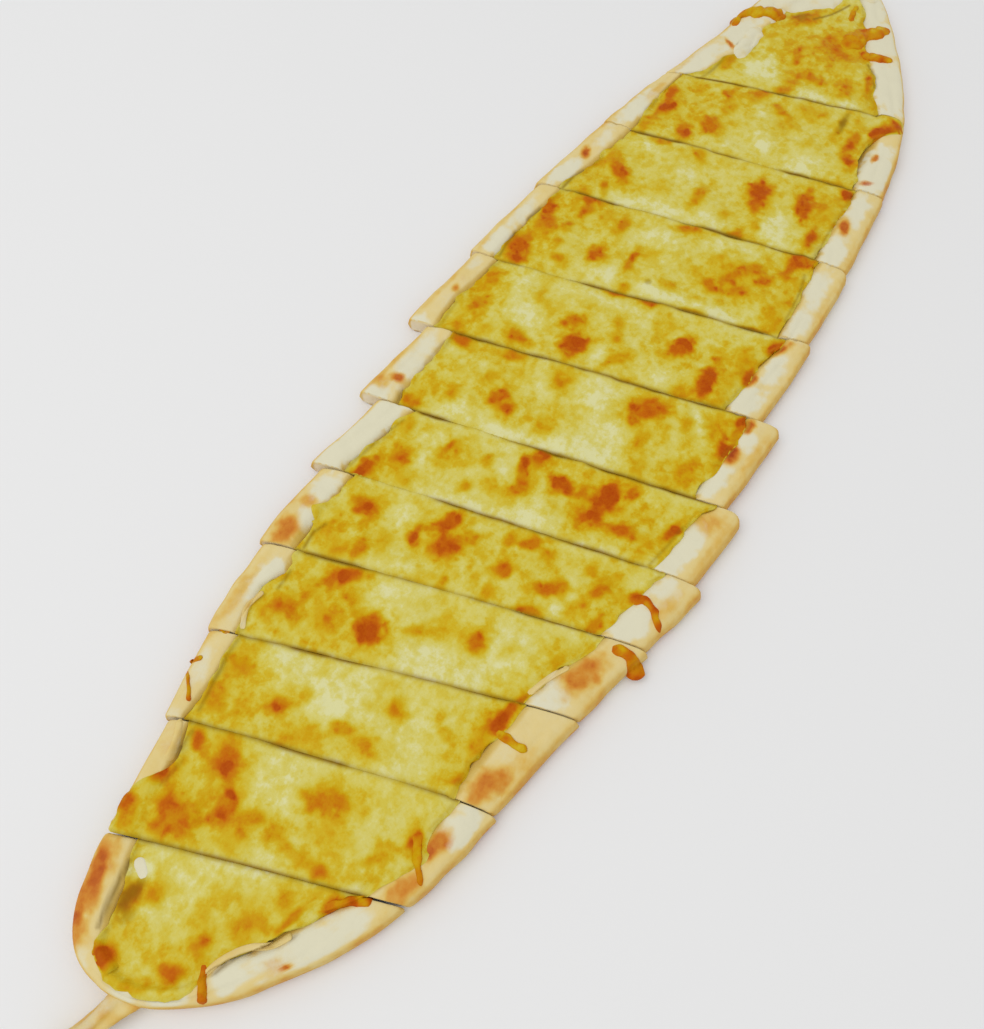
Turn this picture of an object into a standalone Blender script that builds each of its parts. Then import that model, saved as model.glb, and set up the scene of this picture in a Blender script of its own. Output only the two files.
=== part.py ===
# A boat-shaped pide filled with kashar cheese, cut across into twelve slices that have slipped
# sideways along their cuts.
#
# +X runs along the loaf from its tailed tip to its blunt tip, +Y points to the side that the
# slices slipped towards, and +Z up. The loaf lies flat on z = 0. Sizes are in millimetres, and
# MM turns them into metres. "Far" names the rim on the +Y side and "near" the one on the -Y side.
# The loaf is worked out as it was before it was cut, then each slice is put where it slipped to.

import math

import bmesh
import bpy
import numpy as np

MM = 0.001

# the loaf before it was cut
TAILED_TIP = -278.0
BLUNT_TIP = 322.0
WIDEST_AT = -31.5
HALF_WIDTH = 75.6
TAILED_END_POWERS = (1.7, 0.43)
BLUNT_END_POWERS = (3.0, 0.6)
CENTRE_LINE = (
    (-278, 14.5), (-250, 7.5), (-222, 1.5), (-150, 0.2), (-105, -3), (-60, -11), (0, -16.5),
    (60, -20), (150, -24), (235, -24), (282, -16), (322, -13),
)
FRAME_MIDDLE = (5.4, 3.6)

# dough: a thin bed inside a folded-over rim, heights over the surface that it lies on
EDGE_BULGE_HEIGHT = 3.4
RIM_HEIGHT = 9.2
BED_HEIGHT = 4.4
RIM_STEPS = (0.0, 0.05, 0.17, 0.4, 0.66, 0.86, 1.0, 1.16)
RIM_SHAPE = (0.0, 0.5, 0.82, 0.98, 1.0, 0.9, 0.55, 0.0)
UNDERSIDE_SHAPE = (1.0, 0.3, 0.0, 0.0, 0.0, 0.0, 0.0, 0.0)
RIM_UNEVENNESS = 0.7
RIM_WIDTH_FAR = (11, 11.5, 12, 13, 14.5, 13.5, 11.5, 7.0, 10.5, 12, 9.5, 13)
RIM_WIDTH_NEAR = (12.5, 13, 16.5, 18, 18, 16.5, 14.5, 14.5, 12, 12, 9, 17)
BED_ROWS = 6

# melted cheese, thickest in the middle, lapping onto the rim's inner shoulder
CHEESE_HEIGHT = 8.4
CHEESE_WAVE = 0.45
CHEESE_EDGE = 0.5
CHEESE_FIRST_ROW = 5
PIECE_GAP = 0.3

# knife cuts: where each crosses the loaf's axis, how far it leans back for each millimetre
# towards +Y, how far its middle bows towards +X, and how far the next slice slipped along it
CUTS = (
    (-225.0, 0.383, 0.4, 0.0), (-185.2, 0.331, 2.5, 2.2), (-146.3, 0.368, 1.4, 1.4),
    (-109.1, 0.316, 1.2, 2.2), (-73.4, 0.262, 1.8, 5.4), (-35.1, 0.249, 0.0, 9.0),
    (9.3, 0.262, 0.0, 9.5), (55.9, 0.258, -0.9, 2.7), (104.5, 0.236, 1.8, 1.8),
    (157.1, 0.236, -1.2, 0.5), (204.0, 0.295, 3.0, 0.0),
)
KNIFE_GAP = 0.8
SLICES = len(CUTS) + 1
STATIONS = (0.0, 0.08, 0.27, 0.5, 0.73, 0.92, 1.0)
TIP_STATIONS = (0.0, 0.07, 0.15, 0.25, 0.37, 0.5, 0.64, 0.78, 0.91, 1.0)
TIP_CROWDING = 1.7
CORNER_ROUNDING = 1.0
ROUNDED_CORNERS = {5: 4.0, 6: 5.0, 7: 5.0, 9: 3.0}

# crisp cheese that ran over the rim: slice, side of the loaf (+1 far, -1 near), place along
# the slice's edge from 0 to 1, width, how far from the outer edge it stops, and thickness
DRIPS = (
    (1, -1, 0.43, 5.0, -0.6, 1.5), (1, 1, 0.93, 6.0, 0.6, 1.6),
    (2, 1, 0.3, 6.0, 1.0, 1.3), (2, 1, 0.66, 4.5, 4.0, 1.2), (2, -1, 0.3, 5.0, 3.4, 1.5),
    (3, 1, 0.4, 2.6, 2.4, 1.2), (3, -1, 0.24, 7.0, 5.5, 1.2), (3, -1, 0.75, 5.0, 4.5, 1.2),
    (4, 1, 0.14, 5.0, 3.5, 1.2), (4, -1, 0.8, 9.0, -3.5, 1.8), (4, -1, 0.1, 7.0, 6.5, 1.3),
    (5, -1, 0.45, 4.0, 2.2, 1.4), (8, 1, 0.45, 9.0, 3.0, 1.2), (10, 1, 0.55, 5.0, 2.5, 1.2),
    (11, -1, 0.9, 8.0, -1.8, 1.8), (12, 1, 0.31, 15.0, -2.4, 2.2), (12, 1, 0.19, 4.5, 5.0, 1.2),
    (12, -1, 0.28, 4.5, 0.2, 1.6), (12, -1, 0.4, 6.5, -1.8, 1.9),
)
DRIP_LIFT = 0.3
DRIP_EDGE = 0.35
DRIP_ROWS = 10
DRIP_SAG = 2.0
DRIP_SAG_WITHIN = 2.0
DRIP_ROUNDNESS = 0.6
DRIP_TAPER = 0.45
DRIP_COLUMN = 6.0
DRIP_OFF_CUT = 0.004

# the pinched and twisted tail of dough at the tailed tip
TAIL_PATH = ((-263, 4), (-271, 5), (-278, 7), (-285, 8.5), (-292, 11), (-298, 14.5), (-302, 18))
TAIL_HALF_WIDTHS = (5.0, 6.2, 6.0, 5.6, 5.3, 4.4, 2.2)
TAIL_HALF_THICKNESS = (2.4, 3.0, 3.0, 2.8, 2.6, 2.3, 1.5)
TAIL_TWIST = math.radians(100)
TAIL_SIDES = 10
TAIL_OFF_FLOOR = 0.2

# how the shapes are worked out
CUT_TRIES = 40
NORMAL_STEP = 0.5
FOLD_SPREAD = 0.05
DOUGH_SWELLS = 55.0
CHEESE_SWELLS = 24.0
MERGE_WITHIN = 0.00002
SHARP_ANGLE = math.radians(40)

# finish of the two foods: colour, roughness, metallic value
FINISHES = {
    "bread": ((0.79, 0.62, 0.38, 1.0), 0.75, 0.0),
    "cheese": ((0.75, 0.62, 0.16, 1.0), 0.45, 0.0),
}


def smooth_through(x, points):
    """A smooth curve through (x, y) points: a cubic between each two."""
    px, py = np.array(points, float).T
    slope = np.gradient(py, px)
    x = np.clip(x, px[0], px[-1])
    i = np.clip(np.searchsorted(px, x) - 1, 0, len(px) - 2)
    h = px[i + 1] - px[i]
    t = (x - px[i]) / h
    start = (1 + 2 * t) * (1 - t) ** 2 * py[i] + t * (1 - t) ** 2 * h * slope[i]
    end = t * t * (3 - 2 * t) * py[i + 1] + t * t * (t - 1) * h * slope[i + 1]
    return start + end


def half_width(x):
    if x < WIDEST_AT:
        along, powers = (WIDEST_AT - x) / (WIDEST_AT - TAILED_TIP), TAILED_END_POWERS
    else:
        along, powers = (x - WIDEST_AT) / (BLUNT_TIP - WIDEST_AT), BLUNT_END_POWERS
    return HALF_WIDTH * (1 - min(along, 1.0) ** powers[0]) ** powers[1]


def outline(x, side):
    """The point of the loaf's outer edge at x on one side."""
    return np.array([x, float(smooth_through(x, CENTRE_LINE)) + side * half_width(x)])


def inward_normal(x, side):
    """The direction into the loaf, square to its outer edge."""
    low, high = max(x - NORMAL_STEP, TAILED_TIP), min(x + NORMAL_STEP, BLUNT_TIP)
    along = outline(high, side) - outline(low, side)
    normal = np.array([along[1], -along[0]]) * side
    return normal / np.linalg.norm(normal)


def cut_direction(slant):
    return np.array([-slant, 1.0]) / math.hypot(slant, 1.0)


def cut_meets_edge(cut, side, shift):
    """The x at which a knife cut, moved by shift along X, leaves the loaf on one side."""
    x0, slant = cut[0] + shift, cut[1]
    x = x0
    for _ in range(CUT_TRIES):
        x = 0.5 * x + 0.5 * (x0 - slant * outline(x, side)[1])
    return x


def slipped_by(slice_number):
    """How far a slice lies from where it was baked."""
    shift = np.zeros(2)
    for x0, slant, bow, step in CUTS[: slice_number - 1]:
        shift += step * cut_direction(slant)
    return shift


def slice_ends(number):
    """For each side, the x of the slice's two ends, then each end's direction and bow."""
    left = CUTS[number - 2] if number > 1 else None
    right = CUTS[number - 1] if number < SLICES else None
    edge = {}
    for side in (-1, 1):
        x_left = TAILED_TIP if left is None else cut_meets_edge(left, side, KNIFE_GAP / 2)
        x_right = BLUNT_TIP if right is None else cut_meets_edge(right, side, -KNIFE_GAP / 2)
        edge[side] = (x_left, x_right)
    return edge, left, right


def rim_width(number, place, side):
    """The folded rim's width, eased from each slice's own value to its neighbours'."""
    widths = RIM_WIDTH_FAR if side > 0 else RIM_WIDTH_NEAR
    return float(np.interp(number - 0.5 + place, np.arange(1, SLICES + 1), widths))


def wave(x, y, size):
    """A gentle unevenness between -1 and 1 whose swells are about size apart."""
    first = math.sin(x / size * 5.1 + 0.7 * math.sin(y / size * 3.7))
    second = math.sin(y / size * 5.9 + 1.3 + 0.9 * math.sin(x / size * 2.9))
    return 0.5 * first + 0.5 * second


def corner_inset(number, place, side, length):
    """How far the edge is drawn in where a knife left a corner."""
    inset = 0.0
    for distance, rounded in ((place * length, False), ((1 - place) * length, side < 0)):
        radius = ROUNDED_CORNERS.get(number, CORNER_ROUNDING) if rounded else CORNER_ROUNDING
        if distance < radius:
            inset = max(inset, radius - math.sqrt(radius**2 - (radius - distance) ** 2))
    return inset


def half_station(number, place, side, ends):
    """Points across the rim on one side, from the outer edge in to the bed."""
    edge, left, right = ends
    x_left, x_right = edge[side]
    along = place
    if left is None:
        along = place**TIP_CROWDING
    if right is None:
        along = 1 - (1 - place) ** TIP_CROWDING
    x = x_left + (x_right - x_left) * along
    start = outline(x, side)
    normal = inward_normal(x, side)
    if left is None:
        turn, inward = place, -side * cut_direction(right[1])
    elif right is None:
        turn, inward = 1 - place, -side * cut_direction(left[1])
    else:
        turn, slant = 1.0, left[1] + (right[1] - left[1]) * place
        inward = -side * cut_direction(slant)
    inward = normal * (1 - turn) + inward * turn
    inward /= np.linalg.norm(inward)
    lean = float(inward @ normal)
    if turn == 0:
        inward, lean = np.array([1.0 if left is None else -1.0, 0.0]), 1.0
    width = rim_width(number, place, side)
    if turn == 0:
        width = 0.5 * (width + rim_width(number, place, -side))
    length = abs(x_right - x_left)
    inset = corner_inset(number, place, side, length)
    if (left is None and place < 0.5) or (right is None and place > 0.5):
        inset = 0.0
    points = []
    for step in RIM_STEPS:
        reach = inset + step * (width - inset)
        point = start + inward * reach / lean
        if left is None or right is None:
            centre = float(smooth_through(point[0], CENTRE_LINE))
            keep = FOLD_SPREAD * half_width(x) * (1 - len(points) / len(RIM_STEPS))
            if side * (point[1] - centre) < keep or turn == 0:
                point[1] = centre + side * keep
        points.append(point)
    return np.array(points)


def slice_places(number):
    """Where along a slice its stations stand, from 0 to 1, closer together towards a tip."""
    if number == 1:
        return TIP_STATIONS
    if number == SLICES:
        return tuple(1 - p for p in reversed(TIP_STATIONS))
    return STATIONS


def slice_grid(number):
    """The slice's plan as rows of points from the near edge to the far edge, with the dough's
    top and underside heights at each: arrays of shape (stations, rows)."""
    ends = slice_ends(number)
    left, right = ends[1], ends[2]
    plan, top, under = [], [], []
    for place in slice_places(number):
        near = half_station(number, place, -1, ends)
        far = half_station(number, place, 1, ends)[::-1]
        across = np.linspace(0, 1, BED_ROWS + 2)[1:-1, None]
        bed = near[-1] * (1 - across) + far[0] * across
        row = np.concatenate([near, bed, far])
        bow_left = left[2] if left else 0.0
        bow_right = right[2] if right else 0.0
        bow = bow_left * (1 - place) + bow_right * place
        share = np.linspace(0, 1, len(row))
        row[:, 0] += bow * 4 * share * (1 - share)
        shape = np.array(RIM_SHAPE + (0.0,) * BED_ROWS + RIM_SHAPE[::-1])
        rising = np.array(UNDERSIDE_SHAPE + (0.0,) * BED_ROWS + UNDERSIDE_SHAPE[::-1])
        swell = np.array([wave(x, y, DOUGH_SWELLS) for x, y in row])
        crest = RIM_HEIGHT + RIM_UNEVENNESS * swell
        floor = np.full(len(row), BED_HEIGHT)
        floor[:2] = floor[-2:] = EDGE_BULGE_HEIGHT
        plan.append(row)
        top.append(floor + (crest - floor) * shape)
        under.append(EDGE_BULGE_HEIGHT * rising)
    return np.array(plan), np.array(top), np.array(under)


def closed_layer(name, plan, low, high, walls):
    """A solid between two height fields over one grid: named sides are walled, others meet."""
    shape = bmesh.new()
    stations, rows = low.shape
    under, top = (
        [[shape.verts.new((*(place * MM), z * MM)) for place, z in zip(*line)] for line in zip(plan, heights)]
        for heights in (low, high)
    )
    for s in range(stations - 1):
        for r in range(rows - 1):
            a, b, c, d = (s, r), (s + 1, r), (s + 1, r + 1), (s, r + 1)
            for tri in ((a, b, c), (a, c, d)):
                shape.faces.new([top[i][j] for i, j in tri])
                shape.faces.new([under[i][j] for i, j in reversed(tri)])
    borders = {
        "left": [(0, r) for r in range(rows)],
        "right": [(stations - 1, r) for r in range(rows)],
        "near": [(s, 0) for s in range(stations)],
        "far": [(s, rows - 1) for s in range(stations)],
    }
    for side in walls:
        for (a, b), (c, d) in zip(borders[side], borders[side][1:]):
            shape.faces.new([top[a][b], top[c][d], under[c][d], under[a][b]])
    bmesh.ops.remove_doubles(shape, verts=shape.verts, dist=MERGE_WITHIN)
    bmesh.ops.dissolve_degenerate(shape, dist=MERGE_WITHIN / 2, edges=shape.edges)
    bmesh.ops.recalc_face_normals(shape, faces=shape.faces)
    mesh = bpy.data.meshes.new(name)
    shape.to_mesh(mesh)
    shape.free()
    return mesh


def cut_sides(number):
    """The sides of a slice that a knife cut."""
    return [side for side, cut in (("left", number > 1), ("right", number < SLICES)) if cut]


def put_in(collection, name, mesh, material=None):
    piece = bpy.data.objects.new(name, mesh)
    collection.objects.link(piece)
    if material:
        mesh.materials.append(material)
    return piece


def dough_mesh(number, grid):
    plan, top, under = grid
    return closed_layer(f"bread_{number:02d}", plan, under, top, cut_sides(number))


def cheese_mesh(number, grid):
    """The cheese over the bed of one slice, from the rim's shoulder on one side to the other."""
    plan, top, under = grid
    rows = slice(CHEESE_FIRST_ROW, plan.shape[1] - CHEESE_FIRST_ROW)
    plan, dough = plan[:, rows], top[:, rows]
    low = dough + PIECE_GAP
    swell = np.array([[wave(x, y, CHEESE_SWELLS) for x, y in row] for row in plan])
    high = np.maximum(CHEESE_HEIGHT + CHEESE_WAVE * swell, low + 2 * CHEESE_EDGE)
    low[:, 0] = high[:, 0] = low[:, 0] + CHEESE_EDGE / 2
    low[:, -1] = high[:, -1] = low[:, -1] + CHEESE_EDGE / 2
    return closed_layer(f"cheese_{number:02d}", plan, low, high, cut_sides(number))


def on_dough(grid, places, place, row):
    """The point of the dough's top at a place along the slice, on one of the grid's rows."""
    plan, top, under = grid
    x = np.interp(place, places, plan[:, row, 0])
    y = np.interp(place, places, plan[:, row, 1])
    return np.array([x, y, np.interp(place, places, top[:, row])])


def drip_mesh(name, number, grid, side, place, width, stops_at, thickness):
    """A tongue of cheese lying over the rim, from inside the cheese out to where it stops."""
    places = slice_places(number)
    last = grid[0].shape[1] - 1
    rows = range(len(RIM_STEPS)) if side < 0 else range(last, last - len(RIM_STEPS), -1)
    edge_line = grid[0][:, rows[0]]
    length = float(np.linalg.norm(np.diff(edge_line, axis=0), axis=1).sum())
    reach = np.array(RIM_STEPS) * rim_width(number, place, side)
    half = 0.5 * width / length
    start, end = max(place - half, DRIP_OFF_CUT), min(place + half, 1 - DRIP_OFF_CUT)
    columns = np.linspace(start, end, 2 * max(2, round(width / DRIP_COLUMN)) + 1)
    plan, low, high = [], [], []
    for i, column in enumerate(columns):
        full = max(math.sin(math.pi * i / (len(columns) - 1)), 0.0) ** DRIP_ROUNDNESS
        line = np.array([on_dough(grid, places, column, r) for r in rows])
        stop = min(stops_at + (1 - full) * DRIP_TAPER * width, reach[-3])
        wanted = stop + (reach[-1] - stop) * np.linspace(0, 1, DRIP_ROWS)
        inside = np.maximum(wanted, 0.0)
        x, y = (np.interp(inside, reach, line[:, axis]) for axis in (0, 1))
        outward = (line[0, :2] - line[2, :2]) / np.linalg.norm(line[0, :2] - line[2, :2])
        beyond = inside - wanted
        x, y = x + outward[0] * beyond, y + outward[1] * beyond
        crest = np.interp(np.maximum(wanted, RIM_STEPS[2] * reach[-2]), reach, line[:, 2])
        z = crest + PIECE_GAP + DRIP_LIFT - DRIP_SAG * np.clip(beyond / DRIP_SAG_WITHIN, 0, 1)
        plan.append(np.stack([x, y], 1))
        low.append(z)
        tip_fullness = np.minimum(np.linspace(0, 3, DRIP_ROWS), 1.0) ** 0.5
        high.append(z + DRIP_EDGE + (thickness - DRIP_EDGE) * full * tip_fullness)
    every_side = ("left", "right", "near", "far")
    return closed_layer(name, np.array(plan), np.array(low), np.array(high), every_side)


def tail_mesh():
    """A flat rope of dough that turns over as it runs out past the tip."""
    path = np.array(TAIL_PATH, float)
    shape = bmesh.new()
    rings = []
    for i, (x, y) in enumerate(path):
        ahead = path[min(i + 1, len(path) - 1)] - path[max(i - 1, 0)]
        ahead /= np.linalg.norm(ahead)
        across = np.array([-ahead[1], ahead[0]])
        half, thick = TAIL_HALF_WIDTHS[i], TAIL_HALF_THICKNESS[i]
        turn = TAIL_TWIST * i / (len(path) - 1)
        ring = []
        for k in range(TAIL_SIDES):
            angle = 2 * math.pi * k / TAIL_SIDES
            u, v = half * math.cos(angle), thick * math.sin(angle)
            wide = u * math.cos(turn) - v * math.sin(turn)
            tall = u * math.sin(turn) + v * math.cos(turn)
            lowest = math.hypot(half * math.sin(turn), thick * math.cos(turn))
            spot = (x + across[0] * wide, y + across[1] * wide, max(lowest + tall, 0) + TAIL_OFF_FLOOR)
            ring.append(shape.verts.new([value * MM for value in spot]))
        rings.append(ring)
    for first, second in zip(rings, rings[1:]):
        for k in range(TAIL_SIDES):
            n = (k + 1) % TAIL_SIDES
            shape.faces.new([first[k], first[n], second[n], second[k]])
    shape.faces.new(rings[0][::-1])
    shape.faces.new(rings[-1])
    bmesh.ops.recalc_face_normals(shape, faces=shape.faces)
    mesh = bpy.data.meshes.new("tail")
    shape.to_mesh(mesh)
    shape.free()
    return mesh


def fuse(piece, meshes):
    """Join meshes into a piece with one Boolean union on a collection, then drop them."""
    extras = bpy.data.collections.new(piece.name + "_extras")
    bpy.context.scene.collection.children.link(extras)
    for mesh in meshes:
        put_in(extras, mesh.name, mesh)
    union = piece.modifiers.new("fuse", "BOOLEAN")
    union.operation = "UNION"
    union.solver = "MANIFOLD"
    union.operand_type = "COLLECTION"
    union.collection = extras
    bpy.context.view_layer.update()
    fused = bpy.data.meshes.new_from_object(piece.evaluated_get(bpy.context.evaluated_depsgraph_get()))
    piece.modifiers.clear()
    piece.data = fused
    for extra in list(extras.objects):
        bpy.data.objects.remove(extra)
    bpy.data.collections.remove(extras)


def make_materials():
    made = {}
    for name, (colour, roughness, metallic) in FINISHES.items():
        material = bpy.data.materials.new(name)
        material.use_nodes = True
        shader = material.node_tree.nodes["Principled BSDF"]
        shader.inputs["Base Color"].default_value = colour
        shader.inputs["Roughness"].default_value = roughness
        shader.inputs["Metallic"].default_value = metallic
        made[name] = material
    return made


def build():
    for old in list(bpy.data.objects):
        bpy.data.objects.remove(old)
    loaf = bpy.data.collections.new("kashar_cheese_pide")
    bpy.context.scene.collection.children.link(loaf)
    materials = make_materials()
    for number in range(1, SLICES + 1):
        grid = slice_grid(number)
        shift = slipped_by(number) - np.array(FRAME_MIDDLE)
        bread = put_in(loaf, f"bread_{number:02d}", dough_mesh(number, grid), materials["bread"])
        cheese = put_in(loaf, f"cheese_{number:02d}", cheese_mesh(number, grid), materials["cheese"])
        drips = [
            drip_mesh(f"drip_{number:02d}_{i}", number, grid, *drip[1:])
            for i, drip in enumerate(DRIPS) if drip[0] == number
        ]
        if number == 1:
            fuse(bread, [tail_mesh()])
        if drips:
            fuse(cheese, drips)
        for piece in (bread, cheese):
            piece.location = (shift[0] * MM, shift[1] * MM, 0)
            piece.data.shade_smooth()
            piece.data.set_sharp_from_angle(angle=SHARP_ANGLE)


build()
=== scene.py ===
import math

import bmesh
import bpy
import numpy as np
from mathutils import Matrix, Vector
from mathutils.bvhtree import BVHTree


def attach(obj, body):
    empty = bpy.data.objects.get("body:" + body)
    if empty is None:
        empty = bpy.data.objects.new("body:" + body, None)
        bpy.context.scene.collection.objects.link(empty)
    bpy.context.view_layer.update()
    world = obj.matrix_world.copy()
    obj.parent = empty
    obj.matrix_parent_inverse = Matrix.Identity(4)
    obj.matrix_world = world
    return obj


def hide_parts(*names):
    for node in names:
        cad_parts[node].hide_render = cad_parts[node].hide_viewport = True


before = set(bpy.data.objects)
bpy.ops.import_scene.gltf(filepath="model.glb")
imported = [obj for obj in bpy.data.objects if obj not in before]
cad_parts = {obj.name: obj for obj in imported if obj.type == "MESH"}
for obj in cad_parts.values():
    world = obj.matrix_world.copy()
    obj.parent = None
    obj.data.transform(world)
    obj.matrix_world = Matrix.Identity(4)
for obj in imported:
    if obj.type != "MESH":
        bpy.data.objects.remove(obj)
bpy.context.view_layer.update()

# Sizes are in millimetres in the part's own frame, and mm turns them into metres.
# +X runs from the tailed tip to the blunt tip, "far" is the +Y side and "near" the -Y side.
mm = 0.001
sliceCount = 12
farAway = 99.0

loaf = {
    "tailedTip": -278.0,
    "bluntTip": 322.0,
    "widestAt": -31.5,
    "halfWidth": 75.6,
    "tailedPowers": (1.7, 0.43),
    "bluntPowers": (3.0, 0.6),
    "centreLine": (
        (-278, 14.5), (-250, 7.5), (-222, 1.5), (-150, 0.2), (-105, -3), (-60, -11), (0, -16.5),
        (60, -20), (150, -24), (235, -24), (282, -16), (322, -13),
    ),
    "middle": (5.4, 3.6),
    "knifeGap": 0.8,
    # each knife cut: where it crosses the axis, its slant, its bow, and the next slice's slip
    "cuts": (
        (-225.0, 0.383, 0.4, 0.0), (-185.2, 0.331, 2.5, 2.2), (-146.3, 0.368, 1.4, 1.4),
        (-109.1, 0.316, 1.2, 2.2), (-73.4, 0.262, 1.8, 5.4), (-35.1, 0.249, 0.0, 9.0),
        (9.3, 0.262, 0.0, 9.5), (55.9, 0.258, -0.9, 2.7), (104.5, 0.236, 1.8, 1.8),
        (157.1, 0.236, -1.2, 0.5), (204.0, 0.295, 3.0, 0.0),
    ),
    "cornerRounding": 1.0,
    "roundedCorners": {5: 2.6, 6: 5.0, 7: 3.0, 9: 3.0},
    "tipCrowding": 1.7,
}


def smoothThrough(x, points):
    px, py = np.array(points, float).T
    slope = np.gradient(py, px)
    x = np.clip(x, px[0], px[-1])
    i = np.clip(np.searchsorted(px, x) - 1, 0, len(px) - 2)
    h = px[i + 1] - px[i]
    t = (x - px[i]) / h
    start = (1 + 2 * t) * (1 - t) ** 2 * py[i] + t * (1 - t) ** 2 * h * slope[i]
    end = t * t * (3 - 2 * t) * py[i + 1] + t * t * (t - 1) * h * slope[i + 1]
    return start + end


def easeBetween(low, high, value):
    t = np.clip((value - low) / (high - low), 0, 1)
    return t * t * (3 - 2 * t)


def noise(x, y, size, seed=0):
    # smooth unevenness between -1 and 1 whose swells are about size apart
    turned = 0.6 + 0.37 * seed
    u = (x * math.cos(turned) - y * math.sin(turned)) / size + 13.7 * seed
    v = (x * math.sin(turned) + y * math.cos(turned)) / size - 7.1 * seed
    i, j = np.floor(u).astype(np.int64), np.floor(v).astype(np.int64)
    fu, fv = u - i, v - j
    fu, fv = fu * fu * (3 - 2 * fu), fv * fv * (3 - 2 * fv)

    def corner(a, b):
        h = (a * 374761393 + b * 668265263 + seed * 974634777) & 0xFFFFFFFF
        h = ((h ^ (h >> 13)) * 1274126177) & 0xFFFFFFFF
        return ((h ^ (h >> 16)) & 0xFFFFFFFF) / 0xFFFFFFFF * 2 - 1

    low = corner(i, j) * (1 - fu) + corner(i + 1, j) * fu
    high = corner(i, j + 1) * (1 - fu) + corner(i + 1, j + 1) * fu
    return low * (1 - fv) + high * fv


def gentleWave(x, y, size):
    first = np.sin(x / size * 5.1 + 0.7 * np.sin(y / size * 3.7))
    second = np.sin(y / size * 5.9 + 1.3 + 0.9 * np.sin(x / size * 2.9))
    return 0.5 * first + 0.5 * second


# The loaf's outline, cuts and slices

def halfWidthAt(x):
    tailed = x < loaf["widestAt"]
    toTail = (loaf["widestAt"] - x) / (loaf["widestAt"] - loaf["tailedTip"])
    toBlunt = (x - loaf["widestAt"]) / (loaf["bluntTip"] - loaf["widestAt"])
    along = np.clip(np.where(tailed, toTail, toBlunt), 0, 1)
    first = np.where(tailed, loaf["tailedPowers"][0], loaf["bluntPowers"][0])
    second = np.where(tailed, loaf["tailedPowers"][1], loaf["bluntPowers"][1])
    return loaf["halfWidth"] * (1 - along**first) ** second


def outlineAt(x, side):
    return np.stack([x, smoothThrough(x, loaf["centreLine"]) + side * halfWidthAt(x)], -1)


def inwardAt(x, side):
    low = np.maximum(x - 0.5, loaf["tailedTip"])
    high = np.minimum(x + 0.5, loaf["bluntTip"])
    along = outlineAt(high, side) - outlineAt(low, side)
    normal = np.stack([along[..., 1], -along[..., 0]], -1) * side
    return normal / np.linalg.norm(normal, axis=-1, keepdims=True)


def cutDirection(slant):
    slant = np.asarray(slant, float)
    return np.stack([-slant, np.ones_like(slant)], -1) / np.hypot(slant, 1.0)[..., None]


def cutMeetsEdge(cut, side, shift):
    x0 = cut[0] + shift
    x = np.array([x0])
    for _ in range(40):
        x = 0.5 * x + 0.5 * (x0 - cut[1] * outlineAt(x, side)[:, 1])
    return float(x[0])


rim = {
    "bedMeets": 2.5,
    "bulgeHeight": 3.4,
    "height": 9.2,
    "bed": 4.4,
    "steps": (0.0, 0.05, 0.17, 0.4, 0.66, 0.86, 1.0, 1.16),
    "shape": (0.0, 0.5, 0.82, 0.98, 1.0, 0.9, 0.55, 0.0),
    "under": (1.0, 0.3, 0.0, 0.0, 0.0, 0.0, 0.0, 0.0),
    "uneven": 0.7,
    # how wide the rim is on each side, at places along +X of the slices as they lie
    "farWidths": (
        (-285, 9), (-275, 13), (-262, 15), (-248, 13), (-235, 10), (-218, 8.5), (-208, 8), (-202, 9.5),
        (-190, 12.5), (-172, 12.5), (-155, 11), (-147, 15.5), (-138, 15.5), (-130, 15), (-105, 14.5),
        (-97, 13.5), (-75, 15), (-60, 17.5), (-55, 15.5), (-40, 15), (-20, 14.5), (-12, 12.5), (0, 11),
        (10, 12.5), (20, 12.5), (28, 12), (50, 11.5), (78, 12), (90, 14), (120, 15), (135, 15), (150, 13),
        (165, 10), (178, 9), (184, 17), (200, 19.5), (212, 21), (240, 20), (262, 18), (290, 15),
    ),
    "nearWidths": (
        (-285, 7), (-270, 7), (-262, 10), (-255, 11.5), (-250, 11.5), (-242, 11), (-235, 13), (-222, 14.5),
        (-212, 13), (-200, 12), (-190, 12.5), (-175, 14), (-160, 16), (-140, 18), (-125, 19.5),
        (-112, 18.5), (-100, 16), (-85, 16), (-66, 17), (-58, 17), (-45, 16.5), (-27, 16.5), (-23, 13),
        (0, 14), (18, 14), (22, 16), (45, 15.5), (60, 12.5), (66, 12), (85, 14), (105, 16), (112, 16),
        (140, 16), (160, 14), (175, 16), (190, 15), (197, 14), (207, 14), (225, 19), (245, 20), (265, 18),
        (290, 14),
    ),
    "foldSpread": 0.05,
}
lastStep = rim["steps"][-1]
stepNumbers = np.arange(len(rim["steps"]))


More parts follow.
